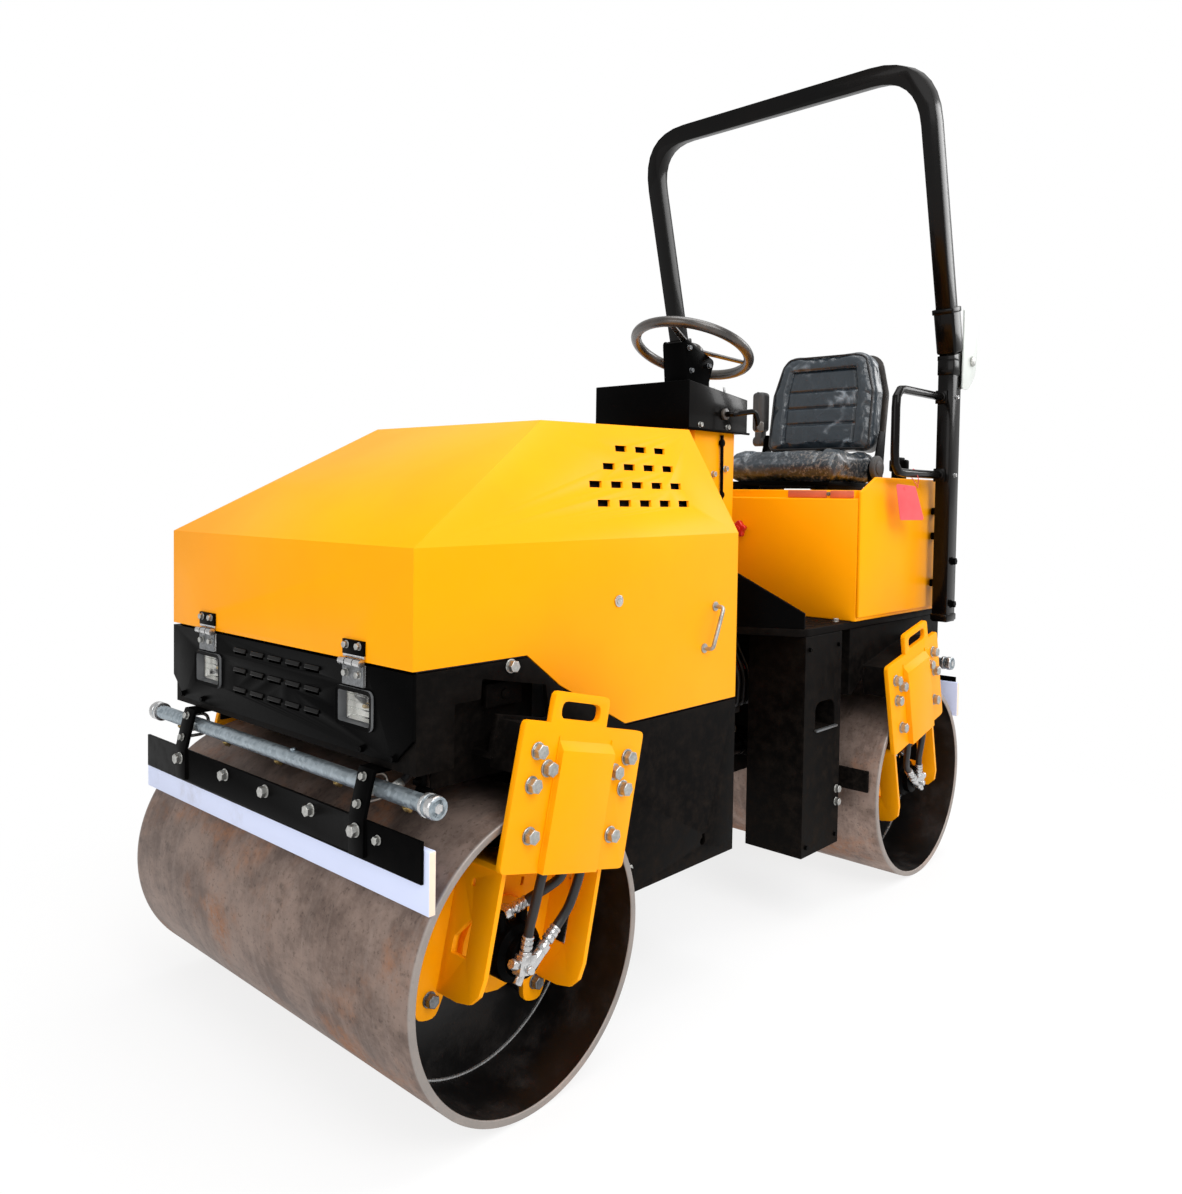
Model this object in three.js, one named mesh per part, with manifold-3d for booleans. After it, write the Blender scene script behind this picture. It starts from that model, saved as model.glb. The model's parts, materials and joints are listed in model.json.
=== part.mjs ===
// Ride-on tandem road roller: two vibrating steel drums, a centre pivot, a tilting engine hood
// and a folding roll-over hoop. Millimetres. +X is forward, +Y is the machine's left, +Z is up.
// The origin is on the ground, midway between the drums, below the centre pivot.

import * as THREE from 'three';
import { mergeVertices } from 'three/addons/utils/BufferGeometryUtils.js';
import { ConvexGeometry } from 'three/addons/geometries/ConvexGeometry.js';
import Module from 'manifold-3d';

const wasm = await Module();
wasm.setup();

// ---------------------------------------------------------------- driving dimensions

const FRONT = 1;                    // which end of the machine
const REAR = -1;
const LEFT = 1;                     // which side of the machine
const RIGHT = -1;
const GAP = 0.3;                    // left between pieces that rest on each other

const DRUM = { radius: 280, halfWidth: 500, shell: 14, web: 12, webFace: 332, facets: 48 };
const AXLE_X = 800;                 // drum axis ahead of and behind the pivot
const AXLE_Z = DRUM.radius * Math.cos(Math.PI / DRUM.facets);

const BODY = { front: 1018, rear: 84, halfWidth: 432, plate: 10, bottom: 282, noseBottom: 640 };
const HOOD = { front: 1026, rear: 85, sheet: 6, lowerFront: 816, lowerRear: 645, shoulder: 1020,
  brow: { x: 897, y: 230, z: 1130 }, crown: { x: 590, y: 283, z: 1265 }, deckRear: 1275 };
const VENTS = { firstX: 243, pitch: 67, length: 38, height: 14, rows: [[1215, 3], [1174, 4], [1135, 5], [1096, 5]] };
const HINGE = { x: 1035, z: 814, y: 268, width: 64, barrel: 7 };
const BRACKET = { tilt: 13 * Math.PI / 180, face: 506, plate: 12, inner: 374, back: -181, front: 147,
  shelf: 160, ribBottom: -76, top: 422, tabTop: 478, tabBack: -67, tabFront: 84, cover: 14 };
const ARM = { front: 125, back: -160, bottom: 325, top: 412 };     // about the drum's axis, tilted with the bracket
const SCRAPER = { face: 1050, blade: 14, bar: 6, bottom: 437, top: 542, barBottom: 487, barTop: 557,
  barHalf: 497, bladeHalf: 510, strapY: 325, strapTop: 1036 };
const PIPE = { x: 1022, z: 603, radius: 15, halfLength: 512, offset: -14 };

const PIVOT = { pin: 22, tongueBottom: 345, tongueTop: 465, yokeBottom: 300, yokeTop: 510, plate: 30 };
const CYLINDER = { y: 152, z: 405, tail: -400, gland: -86, eye: 46, barrel: 26, bore: 15, rod: 12 };

const SPINE = { front: -112, rear: -482, halfWidth: 100, bottom: 300, top: 754.7 };
const DECK = { rear: -1060, bottom: 640 };
const FLOOR = { bottom: 755, top: 775, halfWidth: 436 };
const SIDE_BOX = { front: -230, rear: -466, inner: 262, bottom: 173 };
const TOE = { x: -98, y: 200, wingX: -225, wingY: 435, top: 965, wingTop: 814, plate: 8 };
const SEAT_BOX = { front: -475, rear: -1030, halfWidth: 445, top: 1114, lid: 1138 };
const SEAT = { y: 80, front: -630, rear: -940, halfWidth: 205, bottom: 1166, top: 1250,
  backTop: 1600, backX: -915, recline: 0.14 };
const POST = { x: -928, y: 502, depth: 60, width: 46, bottom: 746, top: 1540 };
const HOOP = { lean: 15 * Math.PI / 180, base: 1556, height: 852, bend: 185, section: 52, pinX: -1012, ear: 45 };
const RAIL = { radius: 12.5, y: 492, front: -592, top: 1425, bottom: 1190, bend: 45 };
const DASH = { front: -70, rear: -345, halfWidth: 165, bottom: 1292, topFront: 1420, topRear: 1388 };
const WHEEL = { x: -300, z: 1540, radius: 168, rim: 12, tilt: 20 * Math.PI / 180 };

// ---------------------------------------------------------------- finishes

const finish = (color, roughness, metalness) =>
  new THREE.MeshStandardMaterial({ color, roughness, metalness });
const YELLOW = finish(0xffb400, 0.35, 0.0);
const BLACK = finish(0x131313, 0.35, 0.1);
const STEEL = finish(0x6f665e, 0.6, 0.7);
const ZINC = finish(0xa9b6bd, 0.35, 0.8);
const NYLON = finish(0xd9dcf2, 0.5, 0.0);
const LENS = finish(0xe8e6df, 0.1, 0.2);
const VINYL = finish(0x1c2026, 0.45, 0.0);
const GREY = finish(0x6d6f72, 0.5, 0.0);
const CASTING = finish(0x45474a, 0.6, 0.6);

// ---------------------------------------------------------------- shape tools

// A geometry with shared corners merged and its faces pointing out.
function closed(geometry) {
  geometry = geometry.index ? geometry : geometry.clone();
  geometry.deleteAttribute('normal');
  geometry.deleteAttribute('uv');
  geometry = mergeVertices(geometry, 1e-3);
  const place = geometry.attributes.position;
  const index = geometry.index.array;
  const corner = [0, 1, 2].map(() => new THREE.Vector3());
  let volume = 0;
  for (let i = 0; i < index.length; i += 3) {
    corner.forEach((point, k) => point.fromBufferAttribute(place, index[i + k]));
    volume += corner[0].dot(corner[1].cross(corner[2]));
  }
  if (volume < 0) {
    for (let i = 0; i < index.length; i += 3) [index[i], index[i + 1]] = [index[i + 1], index[i]];
  }
  return geometry;
}

function solid(geometry) {
  const clean = closed(geometry);
  return new wasm.Manifold(new wasm.Mesh({
    numProp: 3,
    vertProperties: new Float32Array(clean.attributes.position.array),
    triVerts: new Uint32Array(clean.index.array),
  }));
}

function fromSolid(body) {
  const mesh = body.getMesh();
  const geometry = new THREE.BufferGeometry();
  geometry.setAttribute('position', new THREE.BufferAttribute(mesh.vertProperties, 3));
  geometry.setIndex(new THREE.BufferAttribute(mesh.triVerts, 1));
  return geometry;
}

// Pieces welded into one, with the cuts taken out of it.
function weld(pieces, cuts = []) {
  let body = solid(pieces[0]);
  for (const piece of pieces.slice(1)) body = body.add(solid(piece));
  for (const cut of cuts) body = body.subtract(solid(cut));
  return fromSolid(body);
}

const common = (a, b) => fromSolid(solid(a).intersect(solid(b)));

// The mirror image across the plane y = 0, or x = 0.
const mirrorY = (geometry) => closed(geometry.clone().scale(1, -1, 1));
const mirrorX = (geometry) => closed(geometry.clone().scale(-1, 1, 1));

function box(xs, ys, zs) {
  const size = [xs, ys, zs].map(([low, high]) => high - low);
  const middle = [xs, ys, zs].map(([low, high]) => (low + high) / 2);
  return new THREE.BoxGeometry(...size).translate(...middle);
}

// An outline of corners [a, b, radius], where the radius rounds that corner off.
function outline(corners) {
  const shape = new THREE.Shape();
  corners.forEach(([a, b, wanted = 0], i) => {
    const here = new THREE.Vector2(a, b);
    const before = new THREE.Vector2(...corners.at(i - 1).slice(0, 2)).sub(here);
    const after = new THREE.Vector2(...corners[(i + 1) % corners.length].slice(0, 2)).sub(here);
    const radius = Math.min(wanted, 0.45 * before.length(), 0.45 * after.length());
    before.setLength(radius);
    after.setLength(radius);
    const start = here.clone().add(before);
    if (i === 0) shape.moveTo(start.x, start.y);
    else shape.lineTo(start.x, start.y);
    if (radius) shape.quadraticCurveTo(a, b, a + after.x, b + after.y);
  });
  shape.closePath();
  return shape;
}

const extruded = (corners, depth, curveSegments = 3) =>
  new THREE.ExtrudeGeometry(outline(corners), { depth, bevelEnabled: false, curveSegments });

// Outlines in side view [x, z], front view [y, z] and plan view [x, y], given their thickness.
const sidePrism = (corners, [low, high], segments) =>
  extruded(corners, high - low, segments).rotateX(Math.PI / 2).translate(0, high, 0);
const frontPrism = (corners, [low, high], segments) =>
  extruded(corners, high - low, segments).rotateY(Math.PI / 2).rotateX(Math.PI / 2).translate(low, 0, 0);
const planPrism = (corners, [low, high], segments) =>
  extruded(corners, high - low, segments).translate(0, 0, low);

// A turned shape: its profile is a list of [radius, distance along +Y].
const turned = (profile, segments, start = 0) =>
  new THREE.LatheGeometry(profile.map(([r, y]) => new THREE.Vector2(r, y)), segments, start);
const rodY = (radius, [low, high], segments = 20) =>
  turned([[0, low], [radius, low], [radius, high], [0, high]], segments);
const rodZ = (radius, zs, segments = 20) => rodY(radius, zs, segments).rotateX(Math.PI / 2);
const rodX = (radius, xs, segments = 20) => rodY(radius, xs, segments).rotateZ(-Math.PI / 2);

// A round bar through points, bent to a radius at each inner point.
function bentBar(points, radius, bend, steps) {
  const path = new THREE.CurvePath();
  let from = new THREE.Vector3(...points[0]);
  for (let i = 1; i < points.length - 1; i++) {
    const here = new THREE.Vector3(...points[i]);
    const start = here.clone().add(from.clone().sub(here).setLength(bend));
    const end = here.clone().add(new THREE.Vector3(...points[i + 1]).sub(here).setLength(bend));
    path.add(new THREE.LineCurve3(from, start));
    path.add(new THREE.QuadraticBezierCurve3(start, here, end));
    from = end;
  }
  path.add(new THREE.LineCurve3(from, new THREE.Vector3(...points.at(-1))));
  const section = new THREE.Shape();
  section.absarc(0, 0, radius, 0, 2 * Math.PI);
  return new THREE.ExtrudeGeometry(section, {
    steps, extrudePath: path, bevelEnabled: false, curveSegments: 5,
  });
}

// ---------------------------------------------------------------- the object's nodes

const roller = new THREE.Group();

function node(name, geometry, material) {
  const mesh = new THREE.Mesh(closed(geometry), material);
  mesh.name = name;
  roller.add(mesh);
}

// ---------------------------------------------------------------- drums and what carries them

function drum() {
  const { radius, halfWidth, shell, web, webFace, facets } = DRUM;
  const inside = radius - shell;
  const half = [
    [radius, halfWidth], [inside, halfWidth], [inside, webFace], [60, webFace], [60, webFace + 14],
    [30, webFace + 14], [30, webFace - web], [inside, webFace - web],
  ];
  const profile = [...half, ...half.map(([r, y]) => [r, -y]).reverse()];
  return turned([...profile, profile[0]], facets, Math.PI / facets);
}

// One drum bracket, for the left front, before it is tilted about the drum's axis: the outer
// plate with its lifting tab, the hose cover, the inward shelf, two ribs and the inner plate.
function bracket() {
  const b = BRACKET;
  const outer = [b.face, b.face + b.plate];
  const plate = sidePrism([
    [b.back, b.shelf, 12], [b.front, b.shelf, 12], [b.front, b.top, 12], [b.tabFront, b.top],
    [b.tabFront, b.tabTop, 14], [b.tabBack, b.tabTop, 14], [b.tabBack, b.top], [b.back, b.top, 12],
  ], outer);
  const slot = sidePrism([[-44, 430, 14], [62, 430, 14], [62, 462, 14], [-44, 462, 14]], [480, 560]);
  const middle = (b.back + b.front) / 2;
  const coverWall = 6;
  const coverOutside = [[b.face + 4, b.shelf], [b.face + b.plate + b.cover, b.shelf],
    [b.face + b.plate + b.cover, 376], [b.face + 4, 402]];
  const cover = frontPrism(coverOutside, [middle - 72, middle + 72]);
  const coverHollow = box([middle - 66, middle + 66], [b.face - 10, b.face + b.plate + b.cover - coverWall],
    [b.shelf - 20, 368]);
  const shelf = box([b.back + 12, b.front - 12], [b.inner, b.face + 4], [b.shelf, b.shelf + 10]);
  const ribs = [115, -139].map((u) =>
    frontPrism([[b.inner, b.shelf + 5], [b.inner, b.ribBottom, 20], [498, b.ribBottom, 60], [498, b.shelf + 5]],
      [u - 5, u + 5]));
  const lobe = (u) => [[u + 36, -70, 12], [u + 22, -124, 16], [u - 22, -124, 16], [u - 36, -70, 12]];
  const innerPlate = sidePrism([
    [b.back + 12, b.shelf + 5], [-178, 20, 20], ...lobe(-133).reverse(), [-50, -58, 10], [50, -58, 10],
    ...lobe(133).reverse(), [178, 20, 20], [b.front - 12, b.shelf + 5],
  ], [b.inner, b.inner + 12]);
  const bore = rodY(72, [b.inner - 20, b.inner + 30]);
  return weld([plate, cover, shelf, ...ribs, innerPlate], [slot, coverHollow, bore]);
}

// The hydraulic motor on a drum's axis, with its flange and its two hose ports.
function motor() {
  const back = BRACKET.inner + 12 + GAP;
  const body = turned([
    [0, DRUM.webFace + 20], [28, DRUM.webFace + 20], [28, back], [88, back], [88, back + 14],
    [54, back + 14], [54, back + 70], [40, back + 76], [40, back + 92], [0, back + 92],
  ], 20);
  const ports = [-26, 26].map((u) => rodZ(11, [20, 78], 8).translate(u, back + 48, 0));
  return weld([body, ...ports]);
}

// A shape made about a drum's axis for the left front, put at any of the four corners.
function atCorner(geometry, end, side, tilt = BRACKET.tilt) {
  let piece = geometry.clone().rotateY(-tilt).translate(AXLE_X, 0, AXLE_Z);
  if (side === RIGHT) piece = mirrorY(piece);
  return end === REAR ? mirrorX(piece) : piece;
}

// The black arms that reach from the body's sides out to the brackets' plates.
function arms(end) {
  const arm = sidePrism([[ARM.back, ARM.bottom], [ARM.front, ARM.bottom], [ARM.front, ARM.top], [ARM.back, ARM.top]],
    [BODY.halfWidth - 6, BRACKET.face - GAP]);
  return [LEFT, RIGHT].map((side) => atCorner(arm, end, side));
}

const corners = [[FRONT, LEFT], [FRONT, RIGHT], [REAR, LEFT], [REAR, RIGHT]];
for (const [end, side] of corners) {
  const name = `${end === FRONT ? 'front' : 'rear'}_%_${side === LEFT ? 'left' : 'right'}`;
  node(name.replace('%', 'bracket'), atCorner(bracket(), end, side), YELLOW);
  node(name.replace('%', 'motor'), atCorner(motor(), end, side, 0), CASTING);
}

// ---------------------------------------------------------------- scrapers and spray pipes

// The bar that clamps the blade, and the two straps that hang it under the body's end.
function scraperBar() {
  const s = SCRAPER;
  const outside = s.face + s.bar;
  const bar = box([s.face + GAP, outside], [-s.barHalf, s.barHalf], [s.barBottom, s.barTop]);
  const straps = [-s.strapY, s.strapY].map((y) => sidePrism([
    [outside - 2, s.barBottom + 6], [outside + 6, s.barBottom + 6], [outside + 6, s.barTop],
    [s.strapTop + 7, BODY.noseBottom - 8], [s.strapTop + 4, BODY.noseBottom - GAP], [BODY.front - 44, BODY.noseBottom - GAP],
    [BODY.front - 44, BODY.noseBottom - 8], [s.strapTop, BODY.noseBottom - 8], [outside - 2, s.barTop + 1],
  ], [y - 22, y + 22]));
  return weld([bar, ...straps]);
}

const scraperBlade = () => box([SCRAPER.face - SCRAPER.blade, SCRAPER.face],
  [-SCRAPER.bladeHalf, SCRAPER.bladeHalf], [SCRAPER.bottom, SCRAPER.top]);

function sprayPipe() {
  const { radius, halfLength } = PIPE;
  const half = [[radius, halfLength - 30], [radius + 4, halfLength - 30], [radius + 4, halfLength], [0, halfLength]];
  return turned([...half.map(([r, y]) => [r, -y]).reverse(), ...half], 16).translate(PIPE.x, PIPE.offset, PIPE.z);
}

for (const [end, word] of [[FRONT, 'front'], [REAR, 'rear']]) {
  const turn = (geometry) => (end === REAR ? mirrorX(geometry) : geometry);
  node(`${word}_drum`, drum().translate(end * AXLE_X, 0, AXLE_Z), STEEL);
  node(`${word}_scraper_bar`, turn(scraperBar()), BLACK);
  node(`${word}_scraper_blade`, turn(scraperBlade()), NYLON);
  node(`${word}_spray_pipe`, turn(sprayPipe()), ZINC);
}

// The short scraper on the pivot's side of a drum: a flat bar on two lugs.
function innerScraper(from) {
  const edge = AXLE_X - DRUM.radius - 8;
  const bar = box([edge - 10, edge], [-480, 480], [AXLE_Z + 20, AXLE_Z + 80]);
  const lugs = [-300, 300].map((y) => box([from, edge - 4], [y - 20, y + 20], [AXLE_Z + 30, AXLE_Z + 70]));
  return [bar, ...lugs];
}

// ---------------------------------------------------------------- front module

// The engine tub: sheet sides, floor, nose and bulkhead, open at the top.
function frontFrame() {
  const { front, rear, halfWidth, plate, bottom, noseBottom } = BODY;
  const clear = 5;
  const rim = [[front, HOOD.lowerFront - clear], [762, HOOD.lowerFront - clear], [674, 744],
    [480, HOOD.lowerRear - clear], [rear, HOOD.lowerRear - clear]];
  const shell = sidePrism([[rear, bottom], [486, bottom], [492, 500], [600, noseBottom], [front, noseBottom], ...rim],
    [-halfWidth, halfWidth]);
  const hollow = sidePrism([
    [rear + plate, bottom + plate], [486 - plate, bottom + plate], [492 - plate, 500 + plate / 2],
    [600 - plate / 2, noseBottom + plate], [front - plate, noseBottom + plate], [front - plate, 900],
    [rear + plate, 900],
  ], [plate - halfWidth, halfWidth - plate]);
  const yoke = [PIVOT.yokeBottom, PIVOT.yokeTop - PIVOT.plate].map((z) =>
    planPrism([[rear + 5, -130], [rear + 5, 130], [0, 60, 40], [-55, 50, 40], [-55, -50, 40], [0, -60, 40]],
      [z, z + PIVOT.plate]));
  const pinHole = rodZ(PIVOT.pin + 4, [200, 600], 24);
  const scraper = innerScraper(482);
  return weld([shell, ...yoke, ...arms(FRONT), ...scraper], [hollow, pinHole]);
}

function nosePanel() {
  const face = [BODY.front + GAP, HOOD.front];
  const w = BODY.halfWidth;
  const panel = frontPrism([[-w, 811], [-w, 700], [-w + 52, 655], [w - 52, 655], [w, 700], [w, 811]], face);
  const hinges = [-HINGE.y, HINGE.y].flatMap((y) => [
    box([HOOD.front - 2, HOOD.front + 5], [y - HINGE.width / 2, y + HINGE.width / 2], [772, HINGE.z - 4]),
    rodY(HINGE.barrel, [y - HINGE.width / 2, y + HINGE.width / 2], 12).translate(HINGE.x, 0, HINGE.z),
  ]);
  return weld([panel, ...hinges]);
}

// The faceted hood between two hulls, open below. inset shrinks the inner hull by the sheet.
function hoodHull(inset) {
  const { front, rear, shoulder, brow, crown, deckRear } = HOOD;
  const w = BODY.halfWidth - inset;
  const f = front - inset;
  const r = rear + inset;
  const low = 500 - inset;
  const points = [-1, 1].flatMap((side) => [
    [f, side * w, low], [f, side * w, shoulder - inset / 2], [r, side * w, low], [r, side * w, shoulder + 10 - inset / 2],
    [brow.x - inset / 2, side * (brow.y - inset / 2), brow.z - inset],
    [crown.x, side * (crown.y - inset / 2), crown.z - inset],
    [r, side * (crown.y - inset / 2), deckRear - inset],
  ]);
  return new ConvexGeometry(points.map((point) => new THREE.Vector3(...point)));
}

// Rows of leaning slots in the hood's sloping sides, over the engine's air intake.
function ventSlots() {
  const { firstX, pitch, length, height, rows } = VENTS;
  const slope = (BODY.halfWidth - HOOD.crown.y) / (HOOD.crown.z - HOOD.shoulder);
  const slots = rows.flatMap(([z, count]) => Array.from({ length: count }, (_, i) => {
    const x = firstX + i * pitch;
    const y = BODY.halfWidth - slope * (z - HOOD.shoulder);
    const [back, ahead, low, high] = [x - length / 2, x + length / 2, z - height / 2, z + height / 2];
    return sidePrism([[back - 4, high], [ahead - 4, high], [ahead + 4, low], [back + 4, low]], [y - 40, y + 40]);
  }));
  return [...slots, ...slots.map(mirrorY)];
}

function hood() {
  const { front, rear, lowerFront, lowerRear } = HOOD;
  const side = sidePrism([[rear, lowerRear], [483, lowerRear], [677, 749], [765, lowerFront], [front, lowerFront],
    [front, 1400], [rear, 1400]], [-500, 500]);
  const leaves = [-HINGE.y, HINGE.y].map((y) =>
    box([front - 2, front + 5], [y - HINGE.width / 2, y + HINGE.width / 2], [HINGE.z + 12, 852]));
  return weld([common(hoodHull(0), side), ...leaves], [hoodHull(HOOD.sheet), ...ventSlots()]);
}

const headlight = () => frontPrism([[213, 697, 12], [324, 697, 12], [324, 767, 12], [213, 767, 12]],
  [HOOD.front + GAP, HOOD.front + 5]);

node('front_frame', frontFrame(), BLACK);
node('nose_panel', nosePanel(), BLACK);
node('headlight_left', headlight(), LENS);
node('headlight_right', mirrorY(headlight()), LENS);
node('hood', hood(), YELLOW);
node('engine_block', box([130, 450], [-205, 205], [BODY.bottom + BODY.plate + GAP, 960]), CASTING);

// ---------------------------------------------------------------- centre pivot and steering cylinder

function steeringBarrel() {
  const { y, z, tail, gland, barrel, bore } = CYLINDER;
  const tube = rodX(barrel, [tail + 38, gland], 20).translate(0, y, z);
  const eye = rodZ(26, [z - 14, z + 14]).translate(tail, y, 0);
  const neck = box([tail, tail + 48], [y - 14, y + 14], [z - 12, z + 12]);
  return weld([tube, eye, neck], [
    rodX(bore, [tail + 56, gland + 5], 16).translate(0, y, z),
    rodZ(14, [z - 20, z + 20]).translate(tail, y, 0),
  ]);
}

function steeringRod() {
  const { y, z, eye, rod } = CYLINDER;
  const shaft = rodX(rod, [-252, eye - 10], 16).translate(0, y, z);
  const ring = rodZ(20, [z - 12, z + 12]).translate(eye, y, 0);
  return weld([shaft, ring], [rodZ(10, [z - 20, z + 20]).translate(eye, y, 0)]);
}

// The flat lug on the bulkhead that carries the rod's eye.
function steeringLug() {
  const { y, z, eye } = CYLINDER;
  const back = BODY.rear - GAP;
  return planPrism([[back, y - 42], [back, y + 42], [eye, y + 32, 12], [eye - 26, y + 20, 12],
    [eye - 26, y - 20, 12], [eye, y - 32, 12]], [z - 32, z - 20]);
}

node('steering_lug', steeringLug(), BLACK);
node('steering_cylinder_barrel', steeringBarrel(), BLACK);
node('steering_cylinder_rod', steeringRod(), ZINC);

// ---------------------------------------------------------------- rear module

// The spine behind the pivot, its tongue and pin, the deck over the rear drum and its arms.
function rearFrame() {
  const s = SPINE;
  const spine = box([s.rear, s.front], [-s.halfWidth, s.halfWidth], [s.bottom, s.top]);
  const deck = sidePrism([[s.rear + 10, s.top], [s.rear + 10, DECK.bottom - 70], [s.rear - 8, DECK.bottom - 70],
    [-600, DECK.bottom], [DECK.rear, DECK.bottom], [DECK.rear, s.top]], [-BODY.halfWidth, BODY.halfWidth]);
  const tongue = planPrism([[s.front - 5, -90], [0, -55, 50], [48, -40, 40], [48, 40, 40], [0, 55, 50], [s.front - 5, 90]],
    [PIVOT.tongueBottom, PIVOT.tongueTop]);
  const pin = rodZ(PIVOT.pin, [PIVOT.yokeBottom - 15, PIVOT.yokeTop + 15], 24);
  const tailLugs = [CYLINDER.z - 34, CYLINDER.z + 19].map((z) =>
    box([CYLINDER.tail - 30, CYLINDER.tail + 26], [s.halfWidth - 5, CYLINDER.y + 28], [z, z + 15]));
  const tailPin = rodZ(12, [CYLINDER.z - 30, CYLINDER.z + 30], 16).translate(CYLINDER.tail, CYLINDER.y, 0);
  const scraper = innerScraper(430).map(mirrorX);
  const scraperPosts = [-300, 300].map((y) => box([-484, -430], [y - 20, y + 20], [AXLE_Z + 30, 600]));
  return weld([spine, deck, tongue, pin, ...tailLugs, tailPin, ...arms(REAR), ...scraper, ...scraperPosts]);
}

// A black box that carries the platform's side, with an arched foothold in its outer face.
function sideBox() {
  const { front, rear, inner, bottom } = SIDE_BOX;
  const body = box([rear + 44, front], [inner, FLOOR.halfWidth - 1], [bottom, FLOOR.bottom - GAP]);
  const arch = sidePrism([[-389, 500], [-287, 500], [-287, 575, 30], [-389, 575, 30]], [340, 500], 6);
  return weld([body], [arch]);
}

const floorPlate = () => planPrism([
  [DECK.rear, -FLOOR.halfWidth, 20], [TOE.wingX, -FLOOR.halfWidth, 20], [TOE.x - 4, -TOE.y], [TOE.x - 4, TOE.y],
  [TOE.wingX, FLOOR.halfWidth, 20], [DECK.rear, FLOOR.halfWidth, 20],
], [FLOOR.bottom, FLOOR.top]);

// The upright plate ahead of the feet, with wings that run back and down to the sides.
function toeBoard() {
  const { x, y, wingX, wingY, top, wingTop, plate } = TOE;
  const strip = planPrism([
    [wingX - plate, -wingY + 4], [wingX, -wingY + 4], [x, -y], [x, y], [wingX, wingY - 4], [wingX - plate, wingY - 4],
    [x - plate, y - 4], [x - plate, 4 - y],
  ], [FLOOR.top + GAP, top]);
  const face = frontPrism([[-wingY, FLOOR.top], [-wingY, wingTop], [-y, top], [y, top], [wingY, wingTop], [wingY, FLOOR.top]],
    [wingX - 40, x + 40]);
  return common(strip, face);
}

// The yellow box under the seat, open below, with its lid, and the taller panels outside it.
function seatBox() {
  const { front, rear, halfWidth, top } = SEAT_BOX;
  const wall = 12;
  const lid = box([rear + 20, front - 20], [20 - halfWidth, halfWidth - 20], [top - 5, SEAT_BOX.lid]);
  return weld([box([rear, front], [-halfWidth, halfWidth], [FLOOR.top + GAP, top]), lid],
    [box([rear + wall, front - wall], [wall - halfWidth, halfWidth - wall], [FLOOR.top - 20, top - wall])]);
}

const sidePanel = () => sidePrism([
  [SEAT_BOX.rear, 786], [SEAT_BOX.front, 786], [SEAT_BOX.front, 1133], [SEAT_BOX.front - 90, 1176],
  [SEAT_BOX.rear, 1176],
], [SEAT_BOX.halfWidth + GAP, SEAT_BOX.halfWidth + 10]);

function dashBox() {
  const d = DASH;
  return sidePrism([[d.rear, d.bottom], [d.front, d.bottom], [d.front, d.topFront], [d.rear, d.topRear]],
    [-d.halfWidth, d.halfWidth]);
}

const pedestal = () => sidePrism([[-300, FLOOR.top + GAP], [-130, FLOOR.top + GAP], [-120, DASH.bottom - GAP],
  [-305, DASH.bottom - GAP]], [-150, 150]);

// The steering wheel's parts are made upright about +Z at its centre, then leaned to the driver.
const leaned = (geometry) => geometry.rotateY(-WHEEL.tilt).translate(WHEEL.x, 0, WHEEL.z);
const columnFoot = -130;

const steeringColumn = () => leaned(weld([
  rodZ(17, [columnFoot, -26], 16), box([-36, 36], [-34, 34], [columnFoot, -60]),
]));

function steeringWheel() {
  const { radius, rim } = WHEEL;
  const ring = new THREE.TorusGeometry(radius, rim, 8, 32);
  const spokes = [90, 210, 330].map((degrees) =>
    box([20, radius], [-13, 13], [-5, 3]).rotateZ(degrees * Math.PI / 180));
  return leaned(weld([ring, rodZ(34, [-20, 10]), ...spokes]));
}

const driveLever = () => bentBar([[-230, DASH.halfWidth + GAP, 1340], [-230, 200, 1340], [-310, 215, 1352],
  [-330, 215, 1300]], 8, 14, 16);

node('rear_frame', rearFrame(), BLACK);
node('side_box_left', sideBox(), BLACK);
node('side_box_right', mirrorY(sideBox()), BLACK);
node('floor_plate', floorPlate(), BLACK);
node('toe_board', toeBoard(), BLACK);
node('seat_box', seatBox(), YELLOW);
node('side_panel_left', sidePanel(), YELLOW);
node('side_panel_right', mirrorY(sidePanel()), YELLOW);
node('pedestal', pedestal(), YELLOW);
node('dash_box', dashBox(), BLACK);
node('steering_column', steeringColumn(), BLACK);
node('steering_wheel', steeringWheel(), BLACK);
node('drive_lever', driveLever(), BLACK);

// ---------------------------------------------------------------- seat

function seatCushion() {
  const { front, rear, bottom, top, halfWidth } = SEAT;
  return sidePrism([[rear, bottom, 10], [front + 6, bottom, 20], [front, top - 34, 20], [front - 40, top, 30],
    [rear + 80, top - 10], [rear, top - 4, 10]], [SEAT.y - halfWidth, SEAT.y + halfWidth], 3);
}

// The backrest stands on the cushion's back edge and leans with it.
const reclined = (geometry) => geometry.rotateY(-SEAT.recline).translate(SEAT.backX, SEAT.y, SEAT.top + 12);

function seatBackrest() {
  const w = SEAT.halfWidth;
  const height = SEAT.backTop - SEAT.top - 12;
  return reclined(frontPrism([[-w, 0, 30], [w, 0, 30], [w, height * 0.6, 60], [w - 40, height, 60],
    [40 - w, height, 60], [-w, height * 0.6, 60]], [-45, 45], 3));
}

// The slides, the pan under the cushion, and the strut behind the backrest.
const seatBase = () => weld([
  box([-905, -655], [SEAT.y - 175, SEAT.y + 175], [1152, SEAT.bottom - GAP]),
  ...[-1, 1].map((side) => box([-895, -665], [SEAT.y + side * 145 - 20, SEAT.y + side * 145 + 20],
    [SEAT_BOX.lid + GAP, 1155])),
  box([-976, -880], [SEAT.y - 60, SEAT.y + 60], [1150, SEAT.bottom - GAP]),
  reclined(box([-58, -45.3], [-55, 55], [-112, 170])),
]);

const armrest = () => sidePrism([[-946, 1292, 16], [-894, 1292, 16], [-894, 1480, 22], [-946, 1480, 22]],
  [-186, -134], 4);

node('seat_base', seatBase(), BLACK);
node('seat_cushion', seatCushion(), VINYL);
node('seat_backrest', seatBackrest(), VINYL);
node('armrest', armrest(), GREY);

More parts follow.
